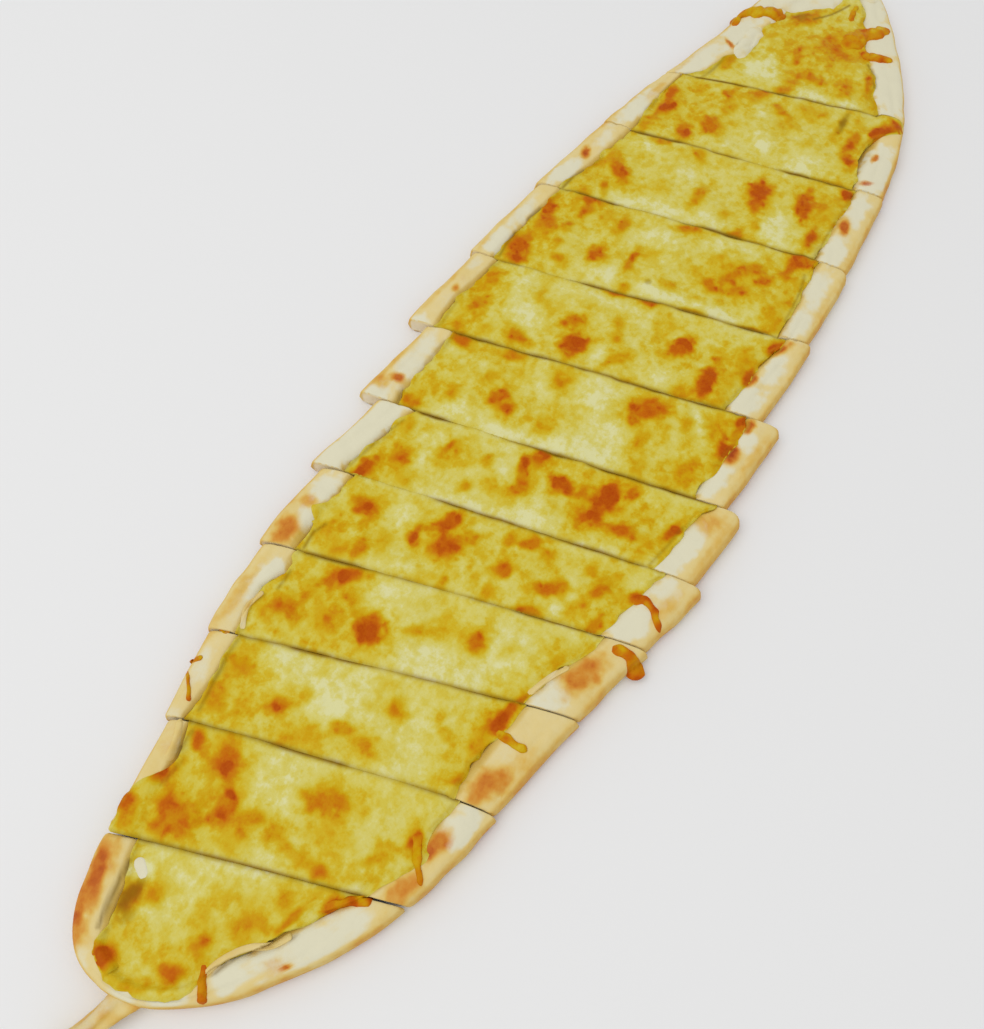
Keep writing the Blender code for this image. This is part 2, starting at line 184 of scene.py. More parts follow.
class SlicePlan:
    # one slice of the loaf, worked out where it was baked and then moved to where it slipped to
    def __init__(self, number):
        self.number = number
        self.left = loaf["cuts"][number - 2] if number > 1 else None
        self.right = loaf["cuts"][number - 1] if number < sliceCount else None
        gap = loaf["knifeGap"] / 2
        self.ends = {}
        for side in (-1, 1):
            start = loaf["tailedTip"] if self.left is None else cutMeetsEdge(self.left, side, gap)
            end = loaf["bluntTip"] if self.right is None else cutMeetsEdge(self.right, side, -gap)
            self.ends[side] = (start, end)
        slips = [step * cutDirection(slant) for x0, slant, bow, step in loaf["cuts"][: number - 1]]
        self.shift = np.sum(slips, axis=0) - np.array(loaf["middle"]) if slips else -np.array(loaf["middle"])

    def rimWidth(self, x, side):
        widths = rim["farWidths"] if side > 0 else rim["nearWidths"]
        return np.interp(x + self.shift[0], *zip(*widths))

    def cornerInset(self, places, side, length):
        inset = np.zeros_like(places)
        for distance, rounded in ((places * length, False), ((1 - places) * length, side < 0)):
            usual = loaf["cornerRounding"]
            radius = loaf["roundedCorners"].get(self.number, usual) if rounded else usual
            short = np.clip(radius - distance, 0, radius)
            inset = np.maximum(inset, radius - np.sqrt(radius**2 - short**2))
        cutHere = np.ones_like(places)
        if self.left is None:
            cutHere[places < 0.5] = 0
        if self.right is None:
            cutHere[places > 0.5] = 0
        return inset * cutHere

    def acrossRim(self, places, side, reach):
        # points over the rim at shares of its width counted in from the outer edge
        start, end = self.ends[side]
        along = places
        if self.left is None:
            along = places ** loaf["tipCrowding"]
        if self.right is None:
            along = 1 - (1 - places) ** loaf["tipCrowding"]
        x = start + (end - start) * along
        normal = inwardAt(x, side)
        turn = np.ones_like(places)
        if self.left is None:
            turn, slant = places, np.full_like(places, self.right[1])
        elif self.right is None:
            turn, slant = 1 - places, np.full_like(places, self.left[1])
        else:
            slant = self.left[1] + (self.right[1] - self.left[1]) * places
        inward = normal * (1 - turn)[:, None] - side * cutDirection(slant) * turn[:, None]
        inward /= np.linalg.norm(inward, axis=1, keepdims=True)
        lean = np.sum(inward * normal, axis=1)
        folded = turn == 0
        width = self.rimWidth(x, side)
        if folded.any():
            inward[folded] = (1.0 if self.left is None else -1.0, 0.0)
            lean[folded] = 1.0
            width = np.where(folded, 0.5 * (width + self.rimWidth(x, -side)), width)
        inset = self.cornerInset(places, side, abs(end - start))
        distance = inset[:, None] + reach * (width - inset)[:, None]
        points = outlineAt(x, side)[:, None] + inward[:, None] * (distance / lean[:, None])[..., None]
        if self.left is None or self.right is None:
            centre = smoothThrough(points[..., 0], loaf["centreLine"])
            rowNumber = np.interp(reach, rim["steps"], stepNumbers)
            keep = rim["foldSpread"] * halfWidthAt(x)[:, None] * (1 - rowNumber / len(rim["steps"]))
            offset = np.maximum(side * (points[..., 1] - centre), keep)
            offset[folded] = keep[folded]
            points[..., 1] = centre + side * offset
        return points

    def grid(self, places, nearReach, farReach, bedRows):
        # rows of points from the near side to the far side, with each point's reach over its rim
        near = self.acrossRim(places, -1, nearReach)
        far = self.acrossRim(places, 1, farReach)[:, ::-1]
        across = np.linspace(0, 1, bedRows + 2)[1:-1]
        bed = near[:, -1:] * (1 - across[:, None]) + far[:, :1] * across[:, None]
        plan = np.concatenate([near, bed, far], axis=1)
        inner = np.full((len(places), bedRows), lastStep)
        reach = np.concatenate([nearReach, inner, farReach[:, ::-1]], axis=1)
        side = np.concatenate([-np.ones_like(nearReach), 0 * inner, np.ones_like(farReach)], axis=1)
        rimRows, allRows = len(stepNumbers) - 1, 2 * len(stepNumbers) + 5
        number = np.concatenate([
            np.interp(nearReach, rim["steps"], stepNumbers),
            np.broadcast_to(rimRows + across * (allRows - 2 * rimRows), inner.shape),
            allRows - np.interp(farReach[:, ::-1], rim["steps"], stepNumbers),
        ], axis=1)
        share = number / allRows
        bow = (self.left[2] if self.left else 0.0) * (1 - places)
        bow = bow + (self.right[2] if self.right else 0.0) * places
        plan[..., 0] += bow[:, None] * 4 * share * (1 - share)
        # close to a tip the bed is too narrow for its rows, so they meet in one point
        first, last = near.shape[1], near.shape[1] + bedRows
        narrow = np.linalg.norm(plan[:, last] - plan[:, first - 1], axis=1) < rim["bedMeets"]
        plan[narrow, first:last] = 0.5 * (plan[narrow, first - 1] + plan[narrow, last])[:, None]
        return plan, reach, side

    def doughTop(self, plan, reach):
        shape = smoothThrough(reach, list(zip(rim["steps"], rim["shape"])))
        crest = rim["height"] + rim["uneven"] * gentleWave(plan[..., 0], plan[..., 1], 55)
        floor = np.interp(reach, (0, 0.05, 0.17), (rim["bulgeHeight"], rim["bulgeHeight"], rim["bed"]))
        return floor + (crest - floor) * np.clip(shape, 0, 1.02)


def spacedPlaces(length, spacing, edgeSteps, leftCut, rightCut):
    # places along a slice from 0 to 1, with a few close together beside each knife cut
    inner = np.linspace(0, 1, max(int(round(length / spacing)), 8) + 1)
    edge = np.array(edgeSteps) / length
    margin = edge[-1] * 1.3  # the even spacing takes over a little past the last close step
    places = set(inner[(inner > margin) & (inner < 1 - margin)]) | {0.0, 1.0}
    places |= set(edge) if leftCut else set(inner[inner <= margin]) | {edge[0], edge[1]}
    places |= set(1 - edge) if rightCut else set(inner[inner >= 1 - margin]) | {1 - edge[0], 1 - edge[1]}
    return np.array(sorted(places))


def distancesToCuts(plan):
    # how far each point lies from the slice's two ends, measured along its own row
    steps = np.linalg.norm(np.diff(plan, axis=0), axis=2)
    fromLeft = np.concatenate([np.zeros((1, plan.shape[1])), np.cumsum(steps, axis=0)])
    return fromLeft, fromLeft[-1] - fromLeft


def distanceToSides(plan):
    # how far each point lies from the nearer side of the grid, measured across its rows
    def fromFirst(points):
        return np.cumsum(np.pad(np.linalg.norm(np.diff(points, axis=1), axis=2), ((0, 0), (1, 0))), axis=1)

    return np.minimum(fromFirst(plan), fromFirst(plan[:, ::-1])[:, ::-1])


def patchField(x, y, patches, ragged, grow, soft):
    # how strongly oval patches (x, y, half length, half width, turn, strength) cover each point
    left = np.ones_like(x)
    wobble = ragged * (noise(x, y, 3.2, 5) + 0.6 * noise(x, y, 1.5, 6))
    for px, py, long, wide, turn, strength in patches:
        c, s = math.cos(math.radians(turn)), math.sin(math.radians(turn))
        u = ((x - px) * c + (y - py) * s) / (long * grow)
        v = ((y - py) * c - (x - px) * s) / (wide * grow)
        left *= 1 - strength * (1 - easeBetween(1 - soft, 1 + soft, np.sqrt(u * u + v * v) + wobble))
    return 1 - left


def lineField(x, y, lines, width):
    # how strongly thin lines through lists of points cover each point
    cover = np.zeros_like(x)
    for strength, *points in lines:
        for (ax, ay), (bx, by) in zip(points, points[1:]):
            run, rise = bx - ax, by - ay
            t = np.clip(((x - ax) * run + (y - ay) * rise) / (run**2 + rise**2), 0, 1)
            d = np.hypot(x - ax - t * run, y - ay - t * rise)
            cover = np.maximum(cover, strength * np.exp(-((d / width) ** 2)))
    return cover


meshRules = {"weld": 0.00002, "sliver": 0.000005, "lipTurn": 100}  # metres, metres, degrees


class Shell:
    # gathers grids of points into one mesh, with a value of each mask at every point
    def __init__(self, *masks):
        self.points, self.faces, self.count = [], [], 0
        self.masks = {name: [] for name in masks}

    def add(self, points, masks, closedRing=False):
        rows, columns = points.shape[:2]
        numbers = np.arange(rows * columns).reshape(rows, columns) + self.count
        if closedRing:
            numbers = np.concatenate([numbers, numbers[:, :1]], axis=1)
        a, b = numbers[:-1, :-1], numbers[1:, :-1]
        c, d = numbers[1:, 1:], numbers[:-1, 1:]
        self.faces.append(np.stack([a, b, c, d], -1).reshape(-1, 4))
        self.points.append(points.reshape(-1, 3))
        for name, gathered in self.masks.items():
            gathered.append(np.broadcast_to(masks.get(name, 0.0), (rows, columns)).ravel())
        self.count += rows * columns

    def build(self, name, material):
        mesh = bpy.data.meshes.new(name)
        points = np.concatenate(self.points) * mm
        mesh.from_pydata(points.tolist(), [], np.concatenate(self.faces).tolist())
        for mask, gathered in self.masks.items():
            layer = mesh.attributes.new(mask, "FLOAT", "POINT")
            layer.data.foreach_set("value", np.concatenate(gathered).astype(np.float32))
        shape = bmesh.new()
        shape.from_mesh(mesh)
        bmesh.ops.remove_doubles(shape, verts=shape.verts, dist=meshRules["weld"])
        bmesh.ops.dissolve_degenerate(shape, dist=meshRules["sliver"], edges=shape.edges)
        bmesh.ops.recalc_face_normals(shape, faces=shape.faces)
        shape.to_mesh(mesh)
        shape.free()
        mesh.shade_smooth()
        mesh.set_sharp_from_angle(angle=math.radians(meshRules["lipTurn"]))  # where a thin lip turns back
        mesh.materials.append(material)
        piece = bpy.data.objects.new(name, mesh)
        bpy.context.scene.collection.objects.link(piece)
        return piece


def heights(plan, z, shift):
    return np.concatenate([plan + shift, z[..., None]], axis=-1)


# Shader maths reads as plain sums: a Value is a socket that can be added, multiplied and so on

class Value:
    def __init__(self, finish, socket):
        self.finish = finish
        self.socket = socket

    def maths(self, operation, first, second):
        return self.finish.node("ShaderNodeMath", {"operation": operation}, {0: first, 1: second})

    def __add__(self, other):
        return self.maths("ADD", self, other)

    def __radd__(self, other):
        return self.maths("ADD", other, self)

    def __sub__(self, other):
        return self.maths("SUBTRACT", self, other)

    def __rsub__(self, other):
        return self.maths("SUBTRACT", other, self)

    def __mul__(self, other):
        return self.maths("MULTIPLY", self, other)

    def __rmul__(self, other):
        return self.maths("MULTIPLY", other, self)


class Finish:
    # one material, built node by node
    def __init__(self, name):
        self.material = bpy.data.materials.new(name)
        self.material.use_nodes = True
        self.tree = self.material.node_tree
        self.tree.nodes.clear()

    def node(self, kind, settings=None, inputs=None, output=0):
        made = self.tree.nodes.new(kind)
        for key, value in (settings or {}).items():
            if key == "stops":
                ramp = made.color_ramp
                while len(ramp.elements) < len(value):
                    ramp.elements.new(0.5)
                for element, (place, colour) in zip(ramp.elements, value):
                    element.position = place
                    element.color = colour
            else:
                setattr(made, key, value)
        for key, value in (inputs or {}).items():
            if isinstance(value, Value):
                self.tree.links.new(value.socket, made.inputs[key])
            else:
                made.inputs[key].default_value = value
        return Value(self, made.outputs[output]) if made.outputs else None

    def mask(self, name):
        return self.node("ShaderNodeAttribute", {"attribute_name": name}, output=2)

    def speckle(self, place, scale, detail):
        # noise from 0 to 1 with about scale swells to the metre
        inputs = {"Vector": place, "Scale": scale, "Detail": detail, "Roughness": 0.55}
        return self.node("ShaderNodeTexNoise", {}, inputs)

    def spread(self, value, low, high):
        # 0 below low, 1 above high, eased between
        settings = {"interpolation_type": "SMOOTHSTEP"}
        return self.node("ShaderNodeMapRange", settings, {"Value": value, "From Min": low, "From Max": high})

    def blend(self, share, first, second):
        return self.node("ShaderNodeMix", {"data_type": "RGBA"}, {0: share, 6: first, 7: second}, output=2)

    def close(self, colour, roughness, bumps, settings):
        # stacks the bumps (strength, distance in mm, height) and closes the material
        normal = None
        for strength, distance, height in bumps:
            inputs = {"Strength": strength, "Distance": distance * mm, "Height": height}
            if normal is not None:
                inputs["Normal"] = normal
            normal = self.node("ShaderNodeBump", {}, inputs)
        inputs = {"Base Color": colour, "Roughness": roughness, "Normal": normal}
        inputs.update(settings)
        shader = self.node("ShaderNodeBsdfPrincipled", {}, inputs)
        self.node("ShaderNodeOutputMaterial", {}, {"Surface": shader})
        return self.material


def paint(red, green, blue):
    # a colour given as it looks on screen, from 0 to 255
    shares = [value / 255 for value in (red, green, blue)]
    straight = [share / 12.92 if share <= 10 / 255 else ((share + 0.055) / 1.055) ** 2.4 for share in shares]
    return (*straight, 1.0)


print("frame loaded,", len(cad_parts), "nodes")

breadLook = {
    # from pale dough to dark crust, each with its place on the way
    "baking": (
        (0.0, (226, 208, 152)), (0.3, (222, 198, 128)), (0.5, (217, 178, 88)),
        (0.72, (207, 136, 44)), (0.86, (190, 98, 22)), (1.0, (160, 62, 10)),
    ),
    "flour": (222, 218, 192),
    "crumb": (240, 232, 208),
    "oil": (196, 158, 42),
    # colour of the painted shadow lines where the rim meets the cheese
    "line": (124, 98, 34),
}


def rampStops(steps):
    return [(place, paint(*colour)) for place, colour in steps]


def breadFinish():
    made = Finish("bakedDough")
    place = made.node("ShaderNodeTexCoord", {}, {}, output=3)
    coarse = made.speckle(place, 70, 4)
    medium = made.speckle(place, 230, 4)
    fine = made.speckle(place, 900, 3)
    baked = 0.22 + made.mask("toast") * 0.72 + (coarse - 0.5) * 0.5 + (medium - 0.5) * 0.42
    colour = made.node("ShaderNodeValToRGB", {"stops": rampStops(breadLook["baking"])}, {"Fac": baked})
    oily = made.spread(made.mask("oil") + (medium - 0.5) * 0.5, 0.15, 0.9)
    colour = made.blend(oily * 0.7, colour, paint(*breadLook["oil"]))
    dusted = made.mask("flour") + (medium - 0.5) * 0.5 + (fine - 0.5) * 0.3
    floured = made.spread(dusted + (coarse - 0.5) * 0.6, 0.2, 1.0)
    colour = made.blend(floured * 0.92, colour, paint(*breadLook["flour"]))
    colour = made.blend(made.mask("crumb") * 0.9, colour, paint(*breadLook["crumb"]))
    # painted shadow lines along the rim's inner edge
    colour = made.blend(made.mask("crease"), colour, paint(*breadLook["line"]))
    roughness = 0.62 + 0.25 * made.spread(dusted, 0.3, 0.8) - 0.18 * made.spread(baked, 0.5, 1.0)
    bumps = [(0.6, 0.6, coarse), (0.7, 0.45, medium), (0.5, 0.15, fine)]
    return made.close(colour, roughness, bumps, {"Specular IOR Level": 0.15})


cheeseLook = {
    # from pale melted cheese to dark blisters, each with its place on the way
    "browning": (
        (0.0, (219, 215, 156)), (0.12, (213, 203, 112)), (0.26, (209, 192, 74)), (0.4, (206, 177, 34)),
        (0.54, (203, 158, 4)), (0.68, (199, 132, 0)), (0.82, (194, 101, 0)),
        (0.96, (176, 70, 0)), (1.0, (160, 54, 0)),
    ),
    "cut": (212, 192, 104),
    # colour of the painted shade on the cheese: lines under the rim's edge, shadowed places, the knife cuts
    "line": (134, 98, 4),
}


def cheeseFinish():
    made = Finish("bakedCheese")
    place = made.node("ShaderNodeTexCoord", {}, {}, output=3)
    wide = made.speckle(place, 42, 3)
    coarse = made.speckle(place, 110, 4)
    medium = made.speckle(place, 300, 4)
    fine = made.speckle(place, 1100, 2)
    brown = made.node("ShaderNodeClamp", {}, {"Value": made.mask("brown")})
    gold = made.mask("gold")
    melted = made.spread(coarse + (medium - 0.5) * 0.5, 0.44, 0.62)
    pooled = made.spread(wide + (coarse - 0.5) * 0.4, 0.42, 0.62)
    # pale creamy places, partly painted highlight, lighten the tone
    tone = 0.2 + 0.22 * gold - 0.2 * made.mask("cream") - 0.07 * pooled
    tone = tone + melted * (0.06 + 0.14 * gold) + (coarse - 0.5) * 0.26 + (medium - 0.5) * 0.3
    tone = tone * (1 - brown) + brown * (0.52 + 0.4 * brown) + (medium - 0.5) * 0.16 + (fine - 0.5) * 0.12
    colour = made.node("ShaderNodeValToRGB", {"stops": rampStops(cheeseLook["browning"])}, {"Fac": tone})
    colour = made.blend(made.mask("cutFace") * 0.85, colour, paint(*cheeseLook["cut"]))
    # painted shade under the rim's edge, in shadowed places and along the knife cuts
    colour = made.blend(made.mask("crease"), colour, paint(*cheeseLook["line"]))
    roughness = 0.42 + 0.12 * made.spread(brown, 0.4, 0.9) + (medium - 0.5) * 0.2
    bumps = [(0.6, 0.7, coarse), (0.7, 0.5, medium), (0.5, 0.15, fine)]
    return made.close(colour, roughness, bumps, {"Specular IOR Level": 0.07})


doughMaterial = breadFinish()
cheeseMaterial = cheeseFinish()

# Where the rims are toasted golden and dusted with flour, slice by slice, as seen from above:
# x, y, half length, half width, turn in degrees, strength
toastPatches = {
    1: ((-262, 33, 17, 4.4, 16, 0.8), (-256, 35, 6, 2.4, 12, 0.4), (-275, 28, 6, 4, 45, 0.5),
        (-247, -32, 4, 3, -40, 0.5), (-215, -54, 10, 3, -25, 0.25), (-244.5, -35.5, 1.4, 1.2, 0, 1.0)),
    2: ((-207, -52, 8, 4, -12, 0.65), (-188, -54, 6, 3.4, -15, 0.85), (-214, 44, 8, 3, 20, 0.15)),
    3: ((-163, -57, 9, 4.6, -22, 0.75), (-172, 58, 8, 2.5, 0, 0.35), (-150, -63, 7, 3.4, -8, 0.3)),
    4: ((-112, -64, 11, 5, -18, 0.78), (-160, 60, 18, 2.5, 3, 0.3), (-147, -60, 2, 4, 0, 0.4)),
    5: ((-128, 62, 7, 4.6, 0, 0.75), (-113, 62, 3, 3, 0, 0.5), (-98, -74, 6, 3, 0, 0.4),
        (-72, -76, 8, 3, -10, 0.3)),
    6: ((-80, 72, 22, 1.2, -2, 0.25), (-32, -72, 6, 5, -10, 0.5), (-45, -79, 18, 2, -5, 0.3)),
    7: ((-45, 75, 18, 1.5, -3, 0.4), (-47, 68, 2.4, 3.4, 0, 0.85), (-52, 72, 4, 3, 0, 0.4),
        (0, -74, 16, 2, 0, 0.3), (-1, -65, 5, 3.6, 0, 1.1), (15, -65, 4, 2.6, 0, 0.95)),
    8: ((5, 80, 22, 1.4, -3, 0.3), (5, 75, 2.4, 1.8, 0, 0.7), (37, -55, 5, 2.6, 8, 1.1),
        (56, -58, 5.6, 2.6, -38, 1.0)),
    9: ((50, 79.5, 24, 1.2, 0, 0.2), (95, -65, 20, 2, 0, 0.2)),
    10: ((90, 78, 12, 1.5, -5, 0.25), (125, 74, 12, 1.8, -10, 0.3), (109, 71, 3.6, 2.2, 20, 0.95),
         (135, -53, 6, 2.6, 15, 0.92), (118, -62, 20, 1.6, 3, 0.2)),
    11: ((162, 64, 10, 2, -5, 0.4), (150, 71, 18, 1.5, -8, 0.3), (166, -50, 3.6, 2.2, -50, 0.86),
         (183, -47, 3.8, 1.8, 0, 0.88)),
    12: ((195, 60, 14, 1.5, -10, 0.3), (216, 49, 5, 1.6, 55, 0.9)),
}
flourPatches = {
    1: ((-281, 2, 5, 4, 90, 0.9), (-274, -10, 8, 3.4, -50, 0.9), (-257, -22, 7, 5, -35, 1.3),
        (-246, -30, 9, 5, -42, 1.2), (-235, -39, 9, 6, -38, 1.3), (-224, -45, 9, 5, -35, 1.1),
        (-280, 20, 3, 6, -20, 0.7)),
    2: ((-208, -43, 5, 3, -20, 0.9), (-180, -57, 9, 5, -12, 1.2), (-230, 43, 3, 2, 0, 0.5),
        (-212, 45, 8, 3, 18, 0.4)),
    3: ((-188, 52, 10, 4, 10, 0.7), (-206, 49, 5, 3, 20, 0.6), (-178, 55, 6, 3, 0, 0.4)),
    4: ((-147, 55, 9, 5, 0, 1.5), (-137, -58, 10, 6, -6, 1.5), (-124, -60, 6, 6, 0, 1.0),
        (-160, 58, 6, 2.4, 0, 0.4)),
    5: ((-119, 58, 5, 5, 0, 1.0), (-104, 61, 7, 5, 0, 1.2), (-86, -68, 10, 6, -10, 1.3),
        (-67, -72, 6, 6, 0, 0.9)),
    6: ((-78, 64.5, 24, 6.5, -9, 1.6), (-50, -69, 14, 5, -4, 1.4), (-96, 69, 6, 5, 0, 1.0)),
    7: ((-36, 68, 20, 5, 0, 0.9), (-60, 72, 6, 6, -30, 1.2), (-15, -65, 11, 5, -2, 1.1),
        (8, -68, 6, 4, 0, 1.0)),
    8: ((-19, 78, 6, 6, -20, 1.2), (22, 76, 6, 3, 0, 0.7), (26, -59, 9, 5.5, -4, 1.2),
        (47, -62, 9, 4.5, 0, 1.0)),
    9: ((38, 75, 9, 4, 0, 1.4), (60, 75, 12, 4, 0, 0.8), (73, -60, 12, 4.5, 0, 1.0),
        (96, -58, 12, 5, 5, 1.0)),
    10: ((93, 72, 10, 4.4, -5, 1.4), (122, 68, 9, 4, 0, 0.8), (120, -55, 12, 5, 4, 1.2),
         (146, -54, 12, 5, 5, 1.0)),
    11: ((148, 66, 16, 5, -5, 1.2), (175, -51, 20, 7, 6, 1.5)),
    12: ((195, 56, 16, 6, -8, 1.1), (228, 48, 15, 8, -5, 1.4), (232, -34, 20, 9, 28, 1.6),
         (275, 12, 24, 28, 0, 1.4), (260, 40, 18, 14, -40, 1.2), (262, -18, 14, 10, 30, 1.2)),
}
# thin dark lines of painted shadow where the folded rim meets the cheese, with a shallow groove in the rim
# along them: strength, then the points they pass
creaseShadeLines = {
    1: ((0.75, (-270, 22), (-262, 25), (-250, 28)), (0.6, (-259, -18), (-251, -20), (-243, -28),
        (-237, -32))),
    2: ((0.6, (-213, 39), (-206, 40)), (0.35, (-226, 36), (-216, 36))),
    3: ((0.5, (-199, 43), (-190, 45), (-180, 47)),),
    4: ((0.7, (-167, 50), (-160, 54), (-153, 52)), (0.5, (-148, 49), (-140, 50)), (0.3, (-128, -53),
        (-112, -57))),
    5: ((0.6, (-129, 52), (-122, 53), (-117, 51)),),
    6: ((0.35, (-62, 54), (-75, 57), (-95, 60)), (0.4, (-62, -62), (-50, -64), (-40, -65))),
    7: ((0.5, (-57, 62), (-50, 63)), (0.3, (-35, 63), (-20, 63))),
    8: ((0.25, (-12, 70), (0, 71)), (0.3, (18, -53), (30, -54))),
    9: ((0.6, (33, 70), (40, 71), (48, 71)), (0.6, (58, 71), (67, 70)), (0.4, (72, -54), (86, -53),
        (100, -50))),
    10: ((0.7, (84, 68), (92, 67.5), (99, 66)), (0.4, (112, -50), (124, -48.5), (136, -48))),
    11: ((0.3, (150, 61), (160, 60)),),
    12: ((0.5, (184, 50), (195, 47), (205, 46)), (0.45, (217, 45), (230, 43)), (0.75, (243, -17),
         (235, -24), (227, -27)), (0.75, (258, 21), (268, 15), (279, 10))),
}

breadSizes = {
    "spacing": 1.1,
    "edgeSteps": (0.3, 0.9),
    "rimRows": 22,
    "rowCrowding": 1.35,
    "bedRows": 14,
    "wallRows": 6,
    # each kind of unevenness: how high, how far apart
    "puffs": (0.55, 16),
    "wrinkles": (0.34, 5.5),
    "grain": (0.08, 2.2),
    "folds": 0.5,
    "foldPlace": 0.5,
    "foldWander": 0.16,
    "foldWidth": 0.06,
    "creaseWidth": 0.7,
    "creaseDepth": 0.5,
    "dusting": 0.4,
    "edgeToast": 0.4,
    "cutRounding": 0.35,
    "cutRoundingWidth": 0.7,
    "edgeWander": 0.5,
    "stillTip": 5.0,
    "crumbRoughness": 0.16,
}


def shareOfRim(reach):
    return easeBetween(0.02, 0.2, reach) * (1 - easeBetween(0.95, 1.1, reach))


def rimRelief(x, y, reach):
    relief = 0 * x
    for seed, kind in enumerate(("puffs", "wrinkles", "grain"), 1):
        high, apart = breadSizes[kind]
        relief = relief + high * noise(x, y, apart, seed)
    return shareOfRim(reach) * relief


def makeBread(number):
    size = breadSizes
    shape = SlicePlan(number)
    length = abs(shape.ends[1][1] - shape.ends[1][0])
    places = spacedPlaces(length, size["spacing"], size["edgeSteps"], shape.left, shape.right)
    steps = np.linspace(0, 1, size["rimRows"]) ** size["rowCrowding"] * lastStep
    reach = np.broadcast_to(steps, (len(places), len(steps)))
    plan, reach, side = shape.grid(places, reach, reach, size["bedRows"])
    top = shape.doughTop(plan, reach)
    under = rim["bulgeHeight"] * np.interp(reach, rim["steps"], rim["under"])
    x, y = plan[..., 0] + shape.shift[0], plan[..., 1] + shape.shift[1]
    fromLeft, fromRight = distancesToCuts(plan)
    toCut = np.minimum(fromLeft if shape.left else farAway, fromRight if shape.right else farAway)
    onRim = shareOfRim(reach)
    top = top + rimRelief(x, y, reach)
    top = top - onRim * size["cutRounding"] * np.exp(-((toCut / size["cutRoundingWidth"]) ** 2))
    # a broken fold runs along the middle of the rim
    fold = (reach - size["foldPlace"] - size["foldWander"] * noise(x, y, 26, 23)) / size["foldWidth"]
    folded = np.exp(-(fold**2)) * easeBetween(-0.3, 0.4, noise(x, y, 19, 24))
    top = top - size["folds"] * folded * onRim
    # lines of painted shadow where the rim meets the cheese, with a shallow groove pressed in along them
    creaseAndShade = lineField(x, y, creaseShadeLines[number], size["creaseWidth"])
    top = top - size["creaseDepth"] * creaseAndShade * onRim
    # the outer edge wanders a little, except close to a tip
    outward = np.where(side > 0, 1.0, -1.0) * (np.abs(side) > 0) * (1 - easeBetween(0.0, 0.6, reach))
    if shape.left is None or shape.right is None:
        outward = outward * easeBetween(0.0, size["stillTip"], fromLeft if shape.left is None else fromRight)
    plan = plan + np.stack([0 * x, outward * size["edgeWander"] * noise(x, y, 9, 4)], -1)
    toast = patchField(x, y, toastPatches[number], 0.25, 1.0, 0.6)
    edgeToast = size["edgeToast"] + 0.12 * noise(x, y, 18, 33)
    toast = np.maximum(toast, edgeToast * (1 - easeBetween(0.04, 0.22, reach)))
    flour = patchField(x, y, flourPatches[number], 0.3, 1.0, 0.6)
    middle = easeBetween(0.2, 0.45, reach) * (1 - easeBetween(0.8, 1.0, reach))
    flour = np.maximum(flour, size["dusting"] * middle * (1 - toast) * (0.75 + 0.6 * noise(x, y, 12, 25)))
    flour = flour * (1 - 0.9 * np.clip(toast, 0, 1))
    shell = Shell("toast", "flour", "oil", "crumb", "crease")
    masks = {
        "toast": toast,
        "flour": flour * easeBetween(0.05, 0.22, reach),
        "oil": 0.8 * easeBetween(0.72, 0.95, reach),
        "crease": creaseAndShade * onRim,
    }
    shell.add(heights(plan, top, shape.shift), masks)
    underMasks = {"toast": 0.5 + 0.3 * noise(x, y, 12, 8), "flour": 0.25 + 0.3 * noise(x, y, 9, 9)}
    shell.add(heights(plan, under, shape.shift)[::-1], {k: v[::-1] for k, v in underMasks.items()})
    for end, cut, out in ((0, shape.left, -1), (-1, shape.right, 1)):
        if cut:
            down = np.linspace(0, 1, size["wallRows"] + 1)[:, None]
            z = top[end] * (1 - down) + under[end] * down
            inside = np.sin(math.pi * down) * easeBetween(0, 0.1, reach[end])
            wander = size["crumbRoughness"] * inside * noise(y[end] * 3 + 0 * z, z * 3, 3.0, 10 + number)
            line = np.broadcast_to(plan[end], (len(down), *plan[end].shape)).copy()
            line[..., 0] += out * wander
            crumb = easeBetween(0.0, 0.25, down) * easeBetween(0.02, 0.1, reach[end])
            shell.add(heights(line, z, shape.shift), {"crumb": crumb, "toast": 0.6 * toast[end]})
    return shell, shape


tail = {
    "path": ((-263, 4), (-271, 5), (-278, 7), (-285, 8.5), (-292, 11), (-298, 14.5), (-302, 18)),
    "halfWidths": (5.0, 5.6, 5.2, 5.0, 5.0, 4.4, 2.2),
    "halfThickness": (2.4, 3.0, 3.0, 2.8, 2.6, 2.3, 1.5),
    "twist": math.radians(100),
    "rings": 46,
    "sides": 28,
    "offFloor": 0.2,
    "folds": 0.24,
}


